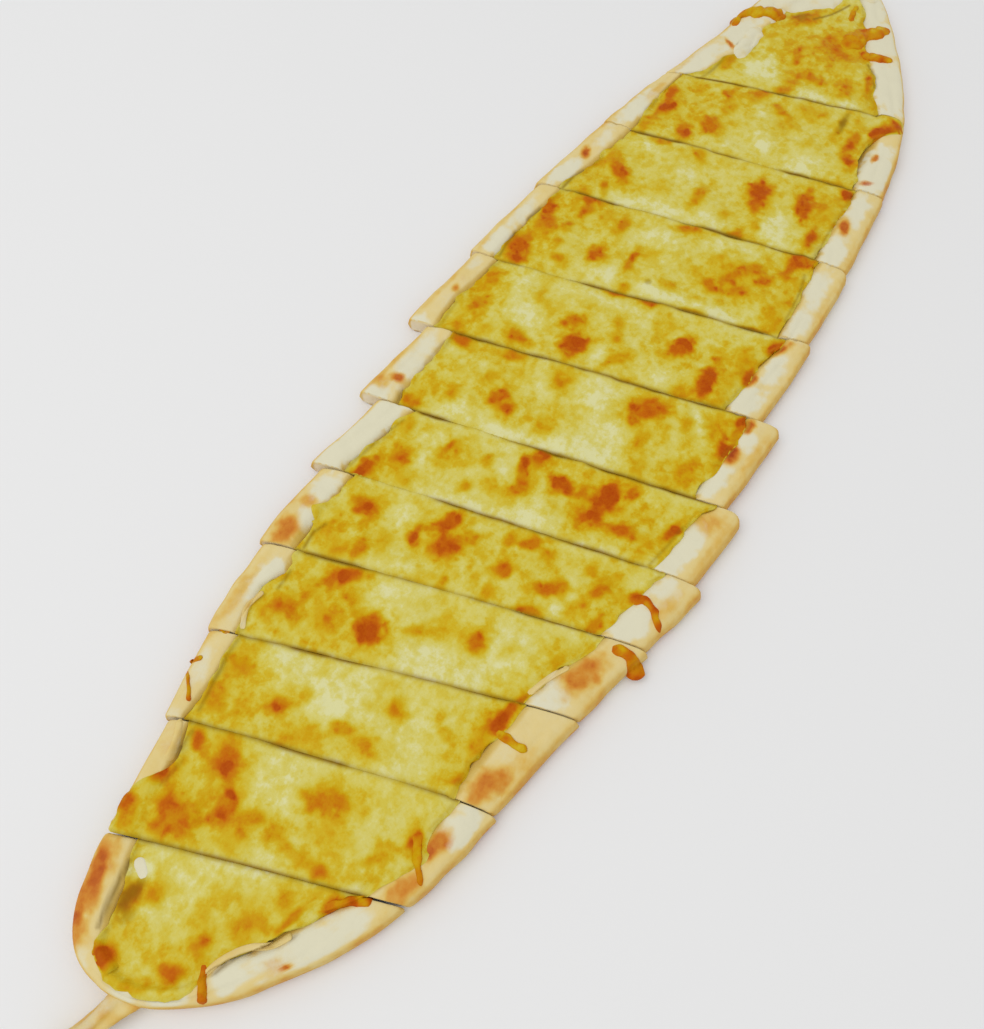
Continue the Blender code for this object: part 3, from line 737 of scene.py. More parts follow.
def addTail(shell, shift):
    share = np.linspace(0, 1, tail["rings"])
    known = np.linspace(0, 1, len(tail["path"]))
    px, py = (smoothThrough(share, list(zip(known, column))) for column in np.array(tail["path"], float).T)
    half = smoothThrough(share, list(zip(known, tail["halfWidths"])))
    thick = smoothThrough(share, list(zip(known, tail["halfThickness"])))
    rounded = np.sqrt(np.clip((1.02 - share) / 0.07, 0, 1))
    half, thick = half * rounded, thick * rounded
    ahead = np.stack([np.gradient(px), np.gradient(py)], -1)
    ahead /= np.linalg.norm(ahead, axis=1, keepdims=True)
    across = np.stack([-ahead[:, 1], ahead[:, 0]], -1)
    angle = np.linspace(0, 2 * math.pi, tail["sides"], endpoint=False)
    crinkle = 1 + tail["folds"] * np.sin(3 * angle[None] + 9 * share[:, None])
    u = half[:, None] * np.cos(angle) * crinkle
    v = thick[:, None] * np.sin(angle) * crinkle
    turn = (tail["twist"] * share)[:, None]
    wide = u * np.cos(turn) - v * np.sin(turn)
    tall = u * np.sin(turn) + v * np.cos(turn)
    lowest = np.hypot(half[:, None] * np.sin(turn), thick[:, None] * np.cos(turn))
    z = np.maximum(lowest + tall, 0) + tail["offFloor"]
    plan = np.stack([px, py], -1)[:, None] + across[:, None] * wide[..., None]
    z = z + 0.25 * noise(plan[..., 0], plan[..., 1] + z, 4.0, 21) * (z > 1)
    toast = 0.24 + 0.4 * noise(plan[..., 0], plan[..., 1] + z, 5.0, 22)
    flour = 0.45 + 0.5 * noise(plan[..., 0], plan[..., 1] + z, 4.0, 27)
    tube = heights(plan, z, shift)
    shell.add(tube, {"toast": toast, "flour": flour}, closedRing=True)
    for ring in (0, -1):
        closed = np.stack([tube[ring], np.broadcast_to(tube[ring].mean(axis=0), tube[ring].shape)])
        shell.add(closed, {"toast": toast[ring], "flour": flour[ring]}, closedRing=True)


# Browned places on the cheese, slice by slice: x, y, half length, half width, turn in degrees and
# how dark, from 0.3 for golden to 1 for dark red-brown
brownSpots = {
    1: ((-276, 15, 3.6, 3.2, 0, 1.0), (-257, 20, 4.2, 3, 20, 0.85), (-252, 14, 2.4, 2.4, 0, 0.6),
        (-267, -6, 4, 2.6, 110, 0.9), (-255, -9, 3.2, 2.4, 0, 0.65), (-249, -3, 4.5, 3, 0, 0.42),
        (-243, -17, 5.5, 4, 0, 0.55), (-230, -23, 3, 3, 0, 0.62), (-233, -28, 7, 1.4, -12, 0.75),
        (-223, -37, 3.2, 2.6, 0, 0.95), (-217, -43, 5, 1.8, -48, 0.85), (-275, 0, 5, 2, -60, 0.45),
        (-259, -13, 2.5, 2, 0, 0.4), (-241, -6, 3, 3, 0, 0.28), (-265, -18, 3, 2, 40, 0.85)),
    2: ((-232, 25, 6.5, 6, 0, 0.72), (-229, 30, 3, 2.5, 0, 0.6), (-207, 23, 7.5, 4, 45, 0.85),
        (-219, 13.5, 6.5, 2.8, -8, 0.76), (-225, 5, 4, 5, 0, 0.48), (-217, 3, 5.5, 2.8, -60, 0.68),
        (-215, -7, 3.5, 2, -45, 0.45), (-218, -15, 8, 1.8, 85, 0.5), (-217, -25, 4, 2, 90, 0.55),
        (-198, -15, 8, 3.4, -68, 0.68), (-206, -22, 5, 6.5, 0, 0.38), (-204, -39, 6, 1.4, -35, 0.6),
        (-192, -47, 4.5, 2.4, 30, 0.7), (-207, 36, 3.8, 2.4, 40, 0.95), (-221, 37, 5, 2, -25, 0.6),
        (-238, 40, 5, 3, 35, 0.7), (-223, 41, 3, 2.5, 100, 0.85)),
    3: ((-192, 42, 5, 4, 0, 0.58), (-190, 31, 4, 3, 0, 0.38), (-177, 42, 4, 5, 0, 0.5),
        (-182, 21, 4, 2.4, -50, 0.75), (-173, 15, 2, 2, 0, 0.42), (-186, 7, 7, 3.4, -65, 0.48),
        (-193, 11, 3, 2, 0, 0.45), (-176, -4, 3.6, 1.8, -75, 0.7), (-176.5, -14, 3.4, 3, 0, 0.62),
        (-159, -15, 3.4, 2.6, 40, 0.6), (-157, -35, 2, 2, 0, 0.45), (-153, -30, 2.5, 1.4, 0, 0.42),
        (-153, -46, 5.5, 2.6, 20, 0.55), (-190, -39, 2, 1, 0, 0.3), (-168, -48, 3, 2, 0, 0.4),
        (-144, -48, 4, 2.8, 0, 1.0), (-138, -49, 4, 1.8, -8, 0.85), (-171, 55, 2.6, 3, 0, 0.85)),
    4: ((-156, 46, 4, 3, 0, 0.42), (-151, 43, 4.5, 3.2, -45, 0.52), (-154, 36, 3, 2.5, 0, 0.48),
        (-148, 26, 6.5, 5, 0, 0.55), (-141, 38, 3, 3, 0, 0.45), (-135, 23, 3, 3.2, 0, 0.5),
        (-130, 31.5, 7.5, 2.9, -45, 0.88), (-142, 10.5, 5.4, 4.8, 0, 1.0), (-132, -4, 4.5, 1.8, -50, 0.6),
        (-123, -25, 4.2, 3.4, 25, 0.85), (-124, -12, 5, 4, 0, 0.3), (-146, -36, 5, 6, 0, 0.42),
        (-139, -45, 5, 3, 0, 0.4), (-120, -36, 3, 2, 0, 0.28), (-133, -50, 3.5, 1.8, -10, 0.85)),
    5: ((-122, 42, 3.6, 4, 0, 0.48), (-118, 50, 3, 3, 0, 0.48), (-118, 33.5, 3.8, 2.5, 0, 0.75),
        (-109, 28, 2.5, 3, 0, 0.42), (-102, 43, 4, 5.2, 0, 0.82), (-103, 19, 3.6, 2.3, 65, 0.75),
        (-116, 7, 4, 1.8, -70, 0.4), (-112, -1, 3, 2, 0, 0.45), (-117, -13, 3, 3, 0, 0.5),
        (-105, -17, 3, 2.5, 0, 0.6), (-100, 8, 4.6, 4.4, 0, 0.86), (-94, 14.5, 5, 2, -48, 0.7),
        (-88, 11, 4.6, 3.2, -20, 0.92), (-94, 3, 6, 3.4, -45, 0.66), (-94, -17, 4, 2.8, -40, 0.86),
        (-82, -12, 3, 2, 0, 0.62), (-79, -20, 4, 2.4, -40, 0.8), (-80, -28, 2.5, 2.5, 0, 0.58),
        (-103, -34, 5, 2.4, -65, 0.75), (-90, -36, 5, 2.8, -55, 0.86), (-82, -52, 3.6, 2, -25, 0.8),
        (-94, -57, 4.4, 2, -15, 0.75), (-90, -48, 9, 1.8, -10, 0.45), (-75, -45, 3, 2, 0, 0.48),
        (-76, -65, 2.5, 2, 0, 0.9)),
    6: ((-89, 53.5, 6.5, 3, -8, 0.92), (-75, 45.5, 3.6, 3.6, 0, 0.78), (-84, 38, 4, 3, 0, 0.36),
        (-68, 30, 4, 4, 0, 0.46), (-60, 29, 2.6, 2.4, 0, 0.55), (-73, 15, 1.6, 1.6, 0, 0.5),
        (-58, 15, 3, 2.2, 0, 0.6), (-66, 8, 2.5, 2.5, 0, 0.38), (-63, -2, 4.4, 3.2, -20, 0.7),
        (-56, -1, 4, 2.2, 35, 0.7), (-51, 2, 3, 1.8, 0, 0.65), (-45, -2, 3.6, 2.8, -40, 0.86),
        (-50.5, -16, 5, 3.4, 90, 0.96), (-56, -33, 5, 3.2, -25, 0.95), (-45, -34.5, 7.5, 4.2, 0, 1.05),
        (-55, -46, 5.5, 2.8, -75, 0.9), (-38, -42, 3, 2, 0, 0.7), (-50, -26, 8, 4, 0, 0.42),
        (-44, -62.5, 4.8, 2, -15, 0.95), (-55, -56, 4, 3, 0, 0.42), (-62, 51, 4, 2.4, 20, 0.5)),
    7: ((-53, 57, 5.5, 3.6, 0, 0.62), (-40, 45, 4, 2.5, 0, 0.5), (-30, 27.5, 4.6, 3.2, 0, 0.82),
        (-34, 21.5, 3.2, 2.8, 0, 0.86), (-24, 36, 4, 2.2, -20, 0.55), (-32, 5, 4, 3.4, 0, 0.42),
        (-15, 57.5, 2.8, 4, 0, 0.86), (-10, 34, 4.5, 2.4, -60, 0.78), (-15, 28, 3, 2, 0, 0.3),
        (-8, 10, 5, 3.6, 0, 0.48), (-1, -28, 6.5, 4.8, -50, 0.9), (-6, -23.5, 6, 2, 20, 0.6),
        (-16, -32, 4, 2.4, 0, 0.52), (-26, -37, 3, 3, 0, 0.48), (-18, -54, 5, 4, 0, 0.58),
        (-28, -50, 4, 4, 0, 0.3), (-1, -63, 4.5, 3.6, 0, 1.0), (14, -63, 4.6, 2.6, 12, 0.88),
        (2, -44, 3, 2, 30, 0.48), (7, -56, 5.5, 4, 0, 0.55)),
    8: ((-10, 63, 3.2, 3, 0, 0.6), (5, 62.5, 6.5, 3.2, -15, 0.66), (20, 65, 4, 3, 30, 0.68),
        (-5, 52, 3, 2.5, 0, 0.36), (-1, 38, 5, 3, 90, 0.76), (10, 16, 5.6, 4.8, 0, 0.97),
        (20, 22.5, 4.8, 2.8, -40, 0.78), (25, 3, 4.5, 2.2, 30, 0.52), (31, 6, 2, 2, 0, 0.36),
        (15, -4, 6.5, 2.3, -35, 0.6), (4.5, -13, 3.6, 2.2, -60, 0.6), (33, -22.5, 6.2, 3.8, -18, 0.92),
        (38, -12, 5, 4, 0, 0.34), (25, -41, 8.8, 3.6, 5, 1.0), (14, -34, 4.5, 3.4, -60, 0.62),
        (37, -54.5, 4.6, 2.4, 15, 0.97), (56, -57.5, 5.4, 2.6, -28, 0.9), (30, -49, 10, 2.4, 0, 0.42),
        (45, -48, 4, 3, 0, 0.48), (21, 37, 4, 2.2, 60, 0.36), (30, 43, 4, 2, 20, 0.3),
        (44.5, 14, 5, 1.8, -70, 0.8), (47, 0, 4.5, 1.9, -80, 0.9)),
    9: ((41.5, 65.5, 7.4, 4.4, 12, 0.9), (60, 63, 4.6, 4, 0, 0.72), (48, 13, 3, 2.2, 0, 0.6),
        (69, 67, 4.4, 2.8, 20, 0.88), (54, 52, 2, 2, 0, 0.65), (63, 53, 3, 2, 0, 0.48),
        (46, 47, 4, 2.4, 80, 0.58), (58.5, 33.5, 3.6, 3.4, 0, 0.82), (79.5, 32.5, 4.2, 2.8, 0, 0.76),
        (79, 41, 3, 3, 0, 0.48), (78, 51, 5, 2.4, -15, 0.7), (61, 18.5, 5, 1.8, 0, 0.6),
        (68, 19, 5, 1.6, 8, 0.46), (73, 12, 5, 1.8, -50, 0.36), (61, -1, 3.6, 1.8, -80, 0.45),
        (71, -17, 4.6, 2.3, 70, 0.78), (80, -23, 5, 2.3, -20, 0.62), (74, -29, 4.4, 2.6, -45, 0.62),
        (90, -30, 5, 2.6, -50, 0.56), (87, -37, 4.4, 2.3, -20, 0.68), (80, -22, 13, 10, -35, 0.36),
        (99, -43, 5.5, 2.4, 0, 0.78), (106, -46, 3.6, 4.6, 0, 0.8), (75, -49, 12, 3.6, 0, 0.38),
        (59, -44, 5, 1.9, -70, 0.88), (84, 53, 4.5, 2.2, -60, 0.9), (53, -17, 4, 1.6, -75, 0.6),
        (94, 5, 4.5, 2.2, -60, 0.75)),
    10: ((106, 50, 6.5, 3.4, 55, 0.88), (108, 69, 4, 2.6, 20, 0.85), (95, 52, 4.4, 1.5, 20, 0.58),
         (86, 58, 3, 3, 0, 0.48), (120, 48, 3, 1.6, -20, 0.34), (115, 12, 6, 2.4, 0, 0.66),
         (138, 24, 3, 3, 0, 0.62), (112, -3, 3, 2, 20, 0.32), (113, -18, 3, 1.6, 25, 0.55),
         (134, -11, 5.2, 4.6, 0, 0.98), (125, -13, 3.8, 3.4, 0, 0.82), (137, -32, 8.4, 3.2, 20, 0.9),
         (121, -43, 5.2, 2.2, 8, 0.93), (135, -52.5, 6.2, 2.3, 12, 1.0), (140, -41, 8, 6, 0, 0.42),
         (154, -46, 3, 2.6, 0, 0.76), (136, 45, 5, 2.6, -70, 0.56), (110, 30, 5, 4, 0, 0.26),
         (103, -13, 4, 2.4, -30, 0.8), (104, -26, 4, 1.6, -85, 0.6), (113, 59, 6, 3, 0, 0.4)),
    11: ((157, 53, 6.4, 3.2, -25, 0.93), (166, 56, 6.4, 2.8, 8, 0.88), (148, 38.5, 5.2, 3.3, 10, 0.86),
         (158, 29, 5.2, 5, -20, 0.78), (143, 56, 6, 3, 0, 0.56), (175, 27, 5, 3, 0, 0.46),
         (183, 32, 3, 3, 0, 0.6), (188, 20, 3, 3, 0, 0.46), (194, 18, 5.5, 2.6, -52, 0.7),
         (188, 6, 4, 2, 70, 0.52), (180, -1, 6, 4, 0, 0.36), (195, -8, 6.5, 4, 90, 0.46),
         (197, -24.5, 7, 2.2, 6, 0.45), (155, -33, 8, 2, -75, 0.72), (178, -34, 7, 2.6, 20, 0.66),
         (189, -33, 4.2, 2.8, 0, 0.78), (173, -40, 3, 2, 0, 0.48), (199, -42, 4.4, 4, 0, 0.86),
         (205, -48, 6.5, 4.6, -45, 0.78), (182, -46, 4, 2, 0, 0.5), (175, -16, 3, 2, 0, 0.36),
         (152, -33, 4, 2.4, -60, 0.6)),
    12: ((204, 43.5, 5.4, 2.4, 0, 0.66), (234, 34, 4.4, 1.8, -40, 0.52), (256, 25, 6.5, 4, -55, 0.72),
         (246, 5, 7, 6.5, 0, 0.68), (243, -3, 4, 4, 0, 0.5), (228, 16, 6.4, 2.1, 15, 0.62),
         (217, 4, 9, 2.8, -85, 0.66), (218, -15, 4.4, 3.4, 0, 0.66), (227, -24, 8, 1.8, 20, 0.66),
         (208, 10, 5.5, 3, 0, 0.46), (200, 11, 4, 2.6, -40, 0.66), (212, -34, 5, 4, 0, 0.4),
         (262, -6, 9, 3.6, -25, 0.76), (249, -20, 8, 3.2, -85, 0.95), (240, 57, 8, 3, -10, 0.85),
         (247, 47, 6, 2.4, -60, 0.7), (235, -8, 7, 5, 20, 0.3)),
}
# Wider golden places, and pale creamy ones that are partly painted highlight, in the same terms
goldPlaces = {
    1: ((-268, 14, 12, 8, 20, 0.6), (-262, -6, 12, 7, -30, 0.5), (-240, -18, 16, 9, -35, 0.6),
        (-262, 6, 8, 8, 0, 0.3)),
    2: ((-225, 30, 20, 9, 15, 0.7), (-219, 4, 9, 10, 0, 0.5), (-206, -20, 9, 16, 0, 0.5),
        (-205, -42, 12, 6, -20, 0.5), (-204, 25, 8, 9, 0, 0.4)),
    3: ((-185, 38, 16, 12, 10, 0.7), (-187, 10, 7, 14, 25, 0.5), (-158, -44, 18, 8, 0, 0.5),
        (-172, -46, 16, 5, 0, 0.35)),
    4: ((-150, 36, 16, 17, 0, 0.7), (-144, 12, 9, 9, 0, 0.5), (-142, -42, 13, 9, 0, 0.5),
        (-112, -54, 16, 5, -18, 0.6), (-122, -24, 9, 8, 0, 0.35)),
    5: ((-115, 46, 14, 12, 0, 0.7), (-94, 8, 12, 14, 0, 0.65), (-88, -20, 12, 15, 0, 0.55),
        (-85, -54, 20, 8, -10, 0.7), (-103, -32, 6, 10, 0, 0.4)),
    6: ((-84, 50, 20, 9, 0, 0.7), (-58, 0, 14, 6, 0, 0.5), (-50, -34, 13, 22, 0, 0.75),
        (-55, -58, 14, 6, 0, 0.6), (-66, 28, 9, 9, 0, 0.4)),
    7: ((-38, 54, 22, 9, 0, 0.6), (-30, 24, 11, 12, 0, 0.5), (-14, 48, 6, 14, 0, 0.5),
        (0, -30, 12, 12, 0, 0.6), (-6, -56, 20, 8, 0, 0.6), (-30, 6, 9, 8, 0, 0.4),
        (-26, -42, 9, 9, 0, 0.35)),
    8: ((5, 64, 26, 10, 0, 0.8), (13, 18, 13, 10, 0, 0.5), (27, -40, 18, 12, 0, 0.65),
        (40, -20, 9, 18, 0, 0.4), (20, 0, 14, 6, 0, 0.3), (8, -32, 6, 12, 25, 0.4)),
    9: ((58, 64, 26, 11, 0, 0.85), (78, 44, 12, 12, 0, 0.5), (82, -28, 18, 16, -30, 0.65),
        (80, -48, 24, 6, 0, 0.6), (66, 16, 10, 6, -10, 0.3)),
    10: ((108, 60, 24, 10, -5, 0.75), (130, -12, 14, 9, 0, 0.5), (135, -40, 20, 10, 8, 0.65),
         (115, 12, 10, 6, 0, 0.3), (136, 44, 6, 14, 0, 0.4)),
    11: ((160, 46, 20, 17, 0, 0.8), (186, 24, 11, 16, 20, 0.55), (190, -8, 12, 14, 0, 0.45),
         (190, -38, 20, 10, -5, 0.7), (156, -38, 6, 12, 0, 0.4)),
    12: ((240, 25, 22, 20, 0, 0.7), (250, 0, 18, 18, 0, 0.7), (222, 0, 16, 22, 0, 0.55),
         (205, 42, 12, 6, 0, 0.5), (225, -25, 18, 7, 22, 0.6)),
}
creamAndHighlightPlaces = {
    1: ((-250, 23, 4, 3.6, 0, 1.6), (-256, 13, 3.8, 3.4, 0, 0.9), (-252, 6, 6, 8, 0, 0.6),
        (-242, 12, 4, 12, 20, 0.4), (-228, -12, 3, 12, 22, 0.4)),
    2: ((-203, 2, 9, 9, 0, 0.8), (-234, 4, 3.4, 15, 18, 0.6), (-213, 33, 4, 3, 0, 0.5),
        (-222, -30, 4, 8, 20, 0.4), (-196, 4, 3, 8, 15, 0.5)),
    3: ((-168, 6, 9, 12, 10, 0.8), (-186, -11, 2.2, 6, 18, 1.0), (-170, 30, 5, 7, 0, 0.5),
        (-170, -28, 12, 10, 0, 0.4), (-195, 28, 2, 8, 12, 0.4)),
    4: ((-131, 10, 8, 12, 0, 0.8), (-142, -16, 10, 12, 0, 0.8), (-128, -34, 12, 8, 0, 0.7),
        (-158, 12, 3, 9, 20, 0.6)),
    5: ((-98, 28, 6, 6, 0, 0.7), (-98, -42, 4, 3, 0, 0.9), (-86, -42, 5, 6, 20, 0.5),
        (-112, 14, 4, 9, 15, 0.5), (-114, 38, 3, 4, 0, 0.4)),
    6: ((-79, 8, 3.6, 15, 17, 1.0), (-70, -14, 6, 10, 12, 0.8), (-67, -38, 3, 12, 15, 0.8),
        (-57, -52, 3, 4, 0, 0.5), (-72, 36, 5, 4, 0, 0.4)),
    7: ((-45, 38, 5, 9, 10, 0.8), (-43, 16, 2.6, 12, 14, 0.9), (-35, -10, 4.4, 18, 16, 1.1),
        (-8, -6, 8, 8, 0, 0.8), (3, -50, 7, 2, 40, 0.9), (-20, 18, 5, 8, 0, 0.4),
        (-20, -18, 9, 8, 0, 0.6)),
    8: ((11, 42, 7, 9, 0, 0.7), (10, 4, 5, 4, 0, 0.9), (36, 24, 3, 12, 15, 0.8), (18, -24, 6, 5, 0, 0.5),
        (24, 52, 8, 4, 0, 0.4), (40, -34, 4, 4, 0, 0.4)),
    9: ((51, 22, 3.6, 8, 20, 0.9), (54, -2, 3, 13, 10, 1.0), (58, -24, 3, 12, 12, 1.0),
        (94, -18, 5, 12, 18, 0.9), (68, 42, 6, 5, 0, 0.5), (80, 12, 7, 9, 0, 0.5)),
    10: ((96, 28, 5.5, 16, 16, 1.0), (104, 2, 4, 10, 10, 0.8), (130, 48, 3.4, 8, 14, 1.0),
         (118, -26, 12, 7, 15, 0.7), (124, 22, 9, 9, 0, 0.5)),
    11: ((164, 3, 8, 6, 0, 0.9), (158, -22, 6, 10, 0, 0.7), (150, 22, 3, 10, 14, 0.7),
         (182, 13, 5, 4, 0, 0.8), (178, -12, 7, 7, 0, 0.4)),
    12: ((209, 26, 8, 9, 0, 1.1), (206, -3, 4.4, 7, 0, 1.0), (209, -21, 5, 5, 0, 0.9),
         (222, 30, 7, 6, 0, 0.5), (232, -14, 5, 5, 0, 0.3)),
}
# the stretches of each slice's two knife cuts that gape and carry more painted shade: side (-1 towards the
# tail,
# 1 towards the blunt tip), y from, y to, how wide
openCuts = {
    1: ((1, -48, 32, 0.35),),
    2: ((-1, -48, 32, 0.35), (1, -12, 14, 0.5), (1, 28, 50, 0.4)),
    3: ((-1, -12, 14, 0.4), (1, 18, 30, 0.9), (1, 0, 14, 0.6), (1, -48, -28, 0.5)),
    4: ((-1, 18, 30, 0.5), (1, 26, 50, 0.7), (1, -62, -30, 0.5)),
    5: ((-1, 30, 48, 0.6), (1, -2, 22, 0.7), (1, -60, -18, 0.7)),
    6: ((-1, -60, 20, 0.3), (1, 30, 50, 1.2), (1, -68, -20, 1.0), (1, -10, 20, 0.5)),
    7: ((-1, 34, 50, 0.5), (-1, -66, -50, 0.9), (1, 4, 36, 1.0), (1, -60, -8, 0.8), (1, 36, 60, 0.6)),
    8: ((-1, -60, 10, 0.3), (1, -4, 36, 0.9), (1, -50, -12, 0.6)),
    9: ((-1, -48, -36, 0.8), (1, 42, 60, 1.0), (1, -16, 10, 1.0), (1, -50, -30, 0.8)),
    10: ((-1, -16, 8, 0.5), (1, 36, 60, 1.0), (1, -45, -16, 0.8), (1, 0, 20, 0.5)),
    11: ((-1, 38, 58, 0.5), (-1, -44, -20, 0.5), (1, 28, 52, 0.7), (1, -30, 20, 0.6), (1, -48, -34, 1.0)),
    12: ((-1, 10, 50, 0.4), (-1, -40, 4, 0.4)),
}

# where the cheese ran out over the rim, by slice and side: place along the edge, share of the rim
# left bare
runsOver = {
    (1, 1): ((0, 0.5), (0.25, 0.75), (0.4, 0.93), (1, 0.93)),
    (1, -1): ((0, 0.5), (0.3, 0.55), (0.45, 0.93), (1, 1.0)),
    (2, 1): ((0, 0.14), (0.45, 0.22), (0.56, 0.85), (1, 0.9)),
    (2, -1): ((0, 0.93), (0.15, 0.9), (0.3, 0.7), (0.42, 0.7), (0.6, 0.93), (1, 0.95)),
    (5, 1): ((0, 0.93), (0.3, 0.92), (0.42, 0.72), (0.48, 0.74), (0.6, 0.93), (1, 0.93)),
    (11, -1): ((0, 0.95), (0.66, 0.95), (0.8, 0.5), (0.9, 0.2), (1, 0.2)),
}
# where a cut is pressed shut, so the painted shade along it is faint
closedPlaces = (
    (-92, 40, 12, 20, 0, 1.0), (-47, 26, 12, 14, 0, 1.0), (95, 20, 10, 20, 0, 0.7), (-116, -10, 6, 6, 0, 0.6),
    (-182, -24, 6, 12, 0, 0.5), (145, -4, 8, 12, 0, 0.8), (36, 44, 8, 16, 0, 0.8),
)
# small olive-brown shadowed places on the cheese
shadePatches = {
    1: ((-258, 20.5, 5.5, 3, 0, 0.9), (-262, 17, 3, 2, 0, 0.4)),
    9: ((57, 6, 1.4, 1.4, 0, 0.5),),
    11: ((196, -24.5, 6, 1.8, 5, 0.95),),
    12: ((256, 27, 5, 3, -55, 0.6), (252, 38, 4, 2.4, -60, 0.4)),
}

cheeseSizes = {
    "height": 8.4,
    "wave": 0.45,
    "spacing": 0.95,
    "edgeSteps": (0.25, 0.6, 1.1, 1.7),
    "gap": 0.3,
    "lip": 0.05,
    "film": 0.3,
    "filmGain": 0.5,
    "leastFilm": 0.15,
    "outerReach": 0.93,
    "reachWander": 0.09,
    "rimRows": 8,
    "rowsSaved": 10,
    "wallRows": 4,
    "lumps": 0.45,
    "ripples": 0.24,
    "blister": 0.7,
    # small browned freckles: how far apart, seed, how dark, how rare
    "freckles": ((4.4, 31, 0.62, 0.34), (2.2, 51, 0.434, 0.42)),
    "cutRounding": 0.34,
    "cutJitter": 0.05,
    "pressedWidth": 2.2,
    "cutLineWidth": 0.95,
    "valley": 0.7,
    "valleyPlace": 3.0,
    "valleyWidth": 2.2,
    "rimShade": 0.25,
    "closedBulge": 0.47,
    "openDraw": 0.2,
}


def cutOpening(y, stretches, side):
    opening = np.zeros_like(y)
    for cutSide, low, high, width in stretches:
        if cutSide == side:
            inside = easeBetween(low - 3, low + 2, y) * (1 - easeBetween(high - 2, high + 3, y))
            opening = np.maximum(opening, width * inside)
    return opening


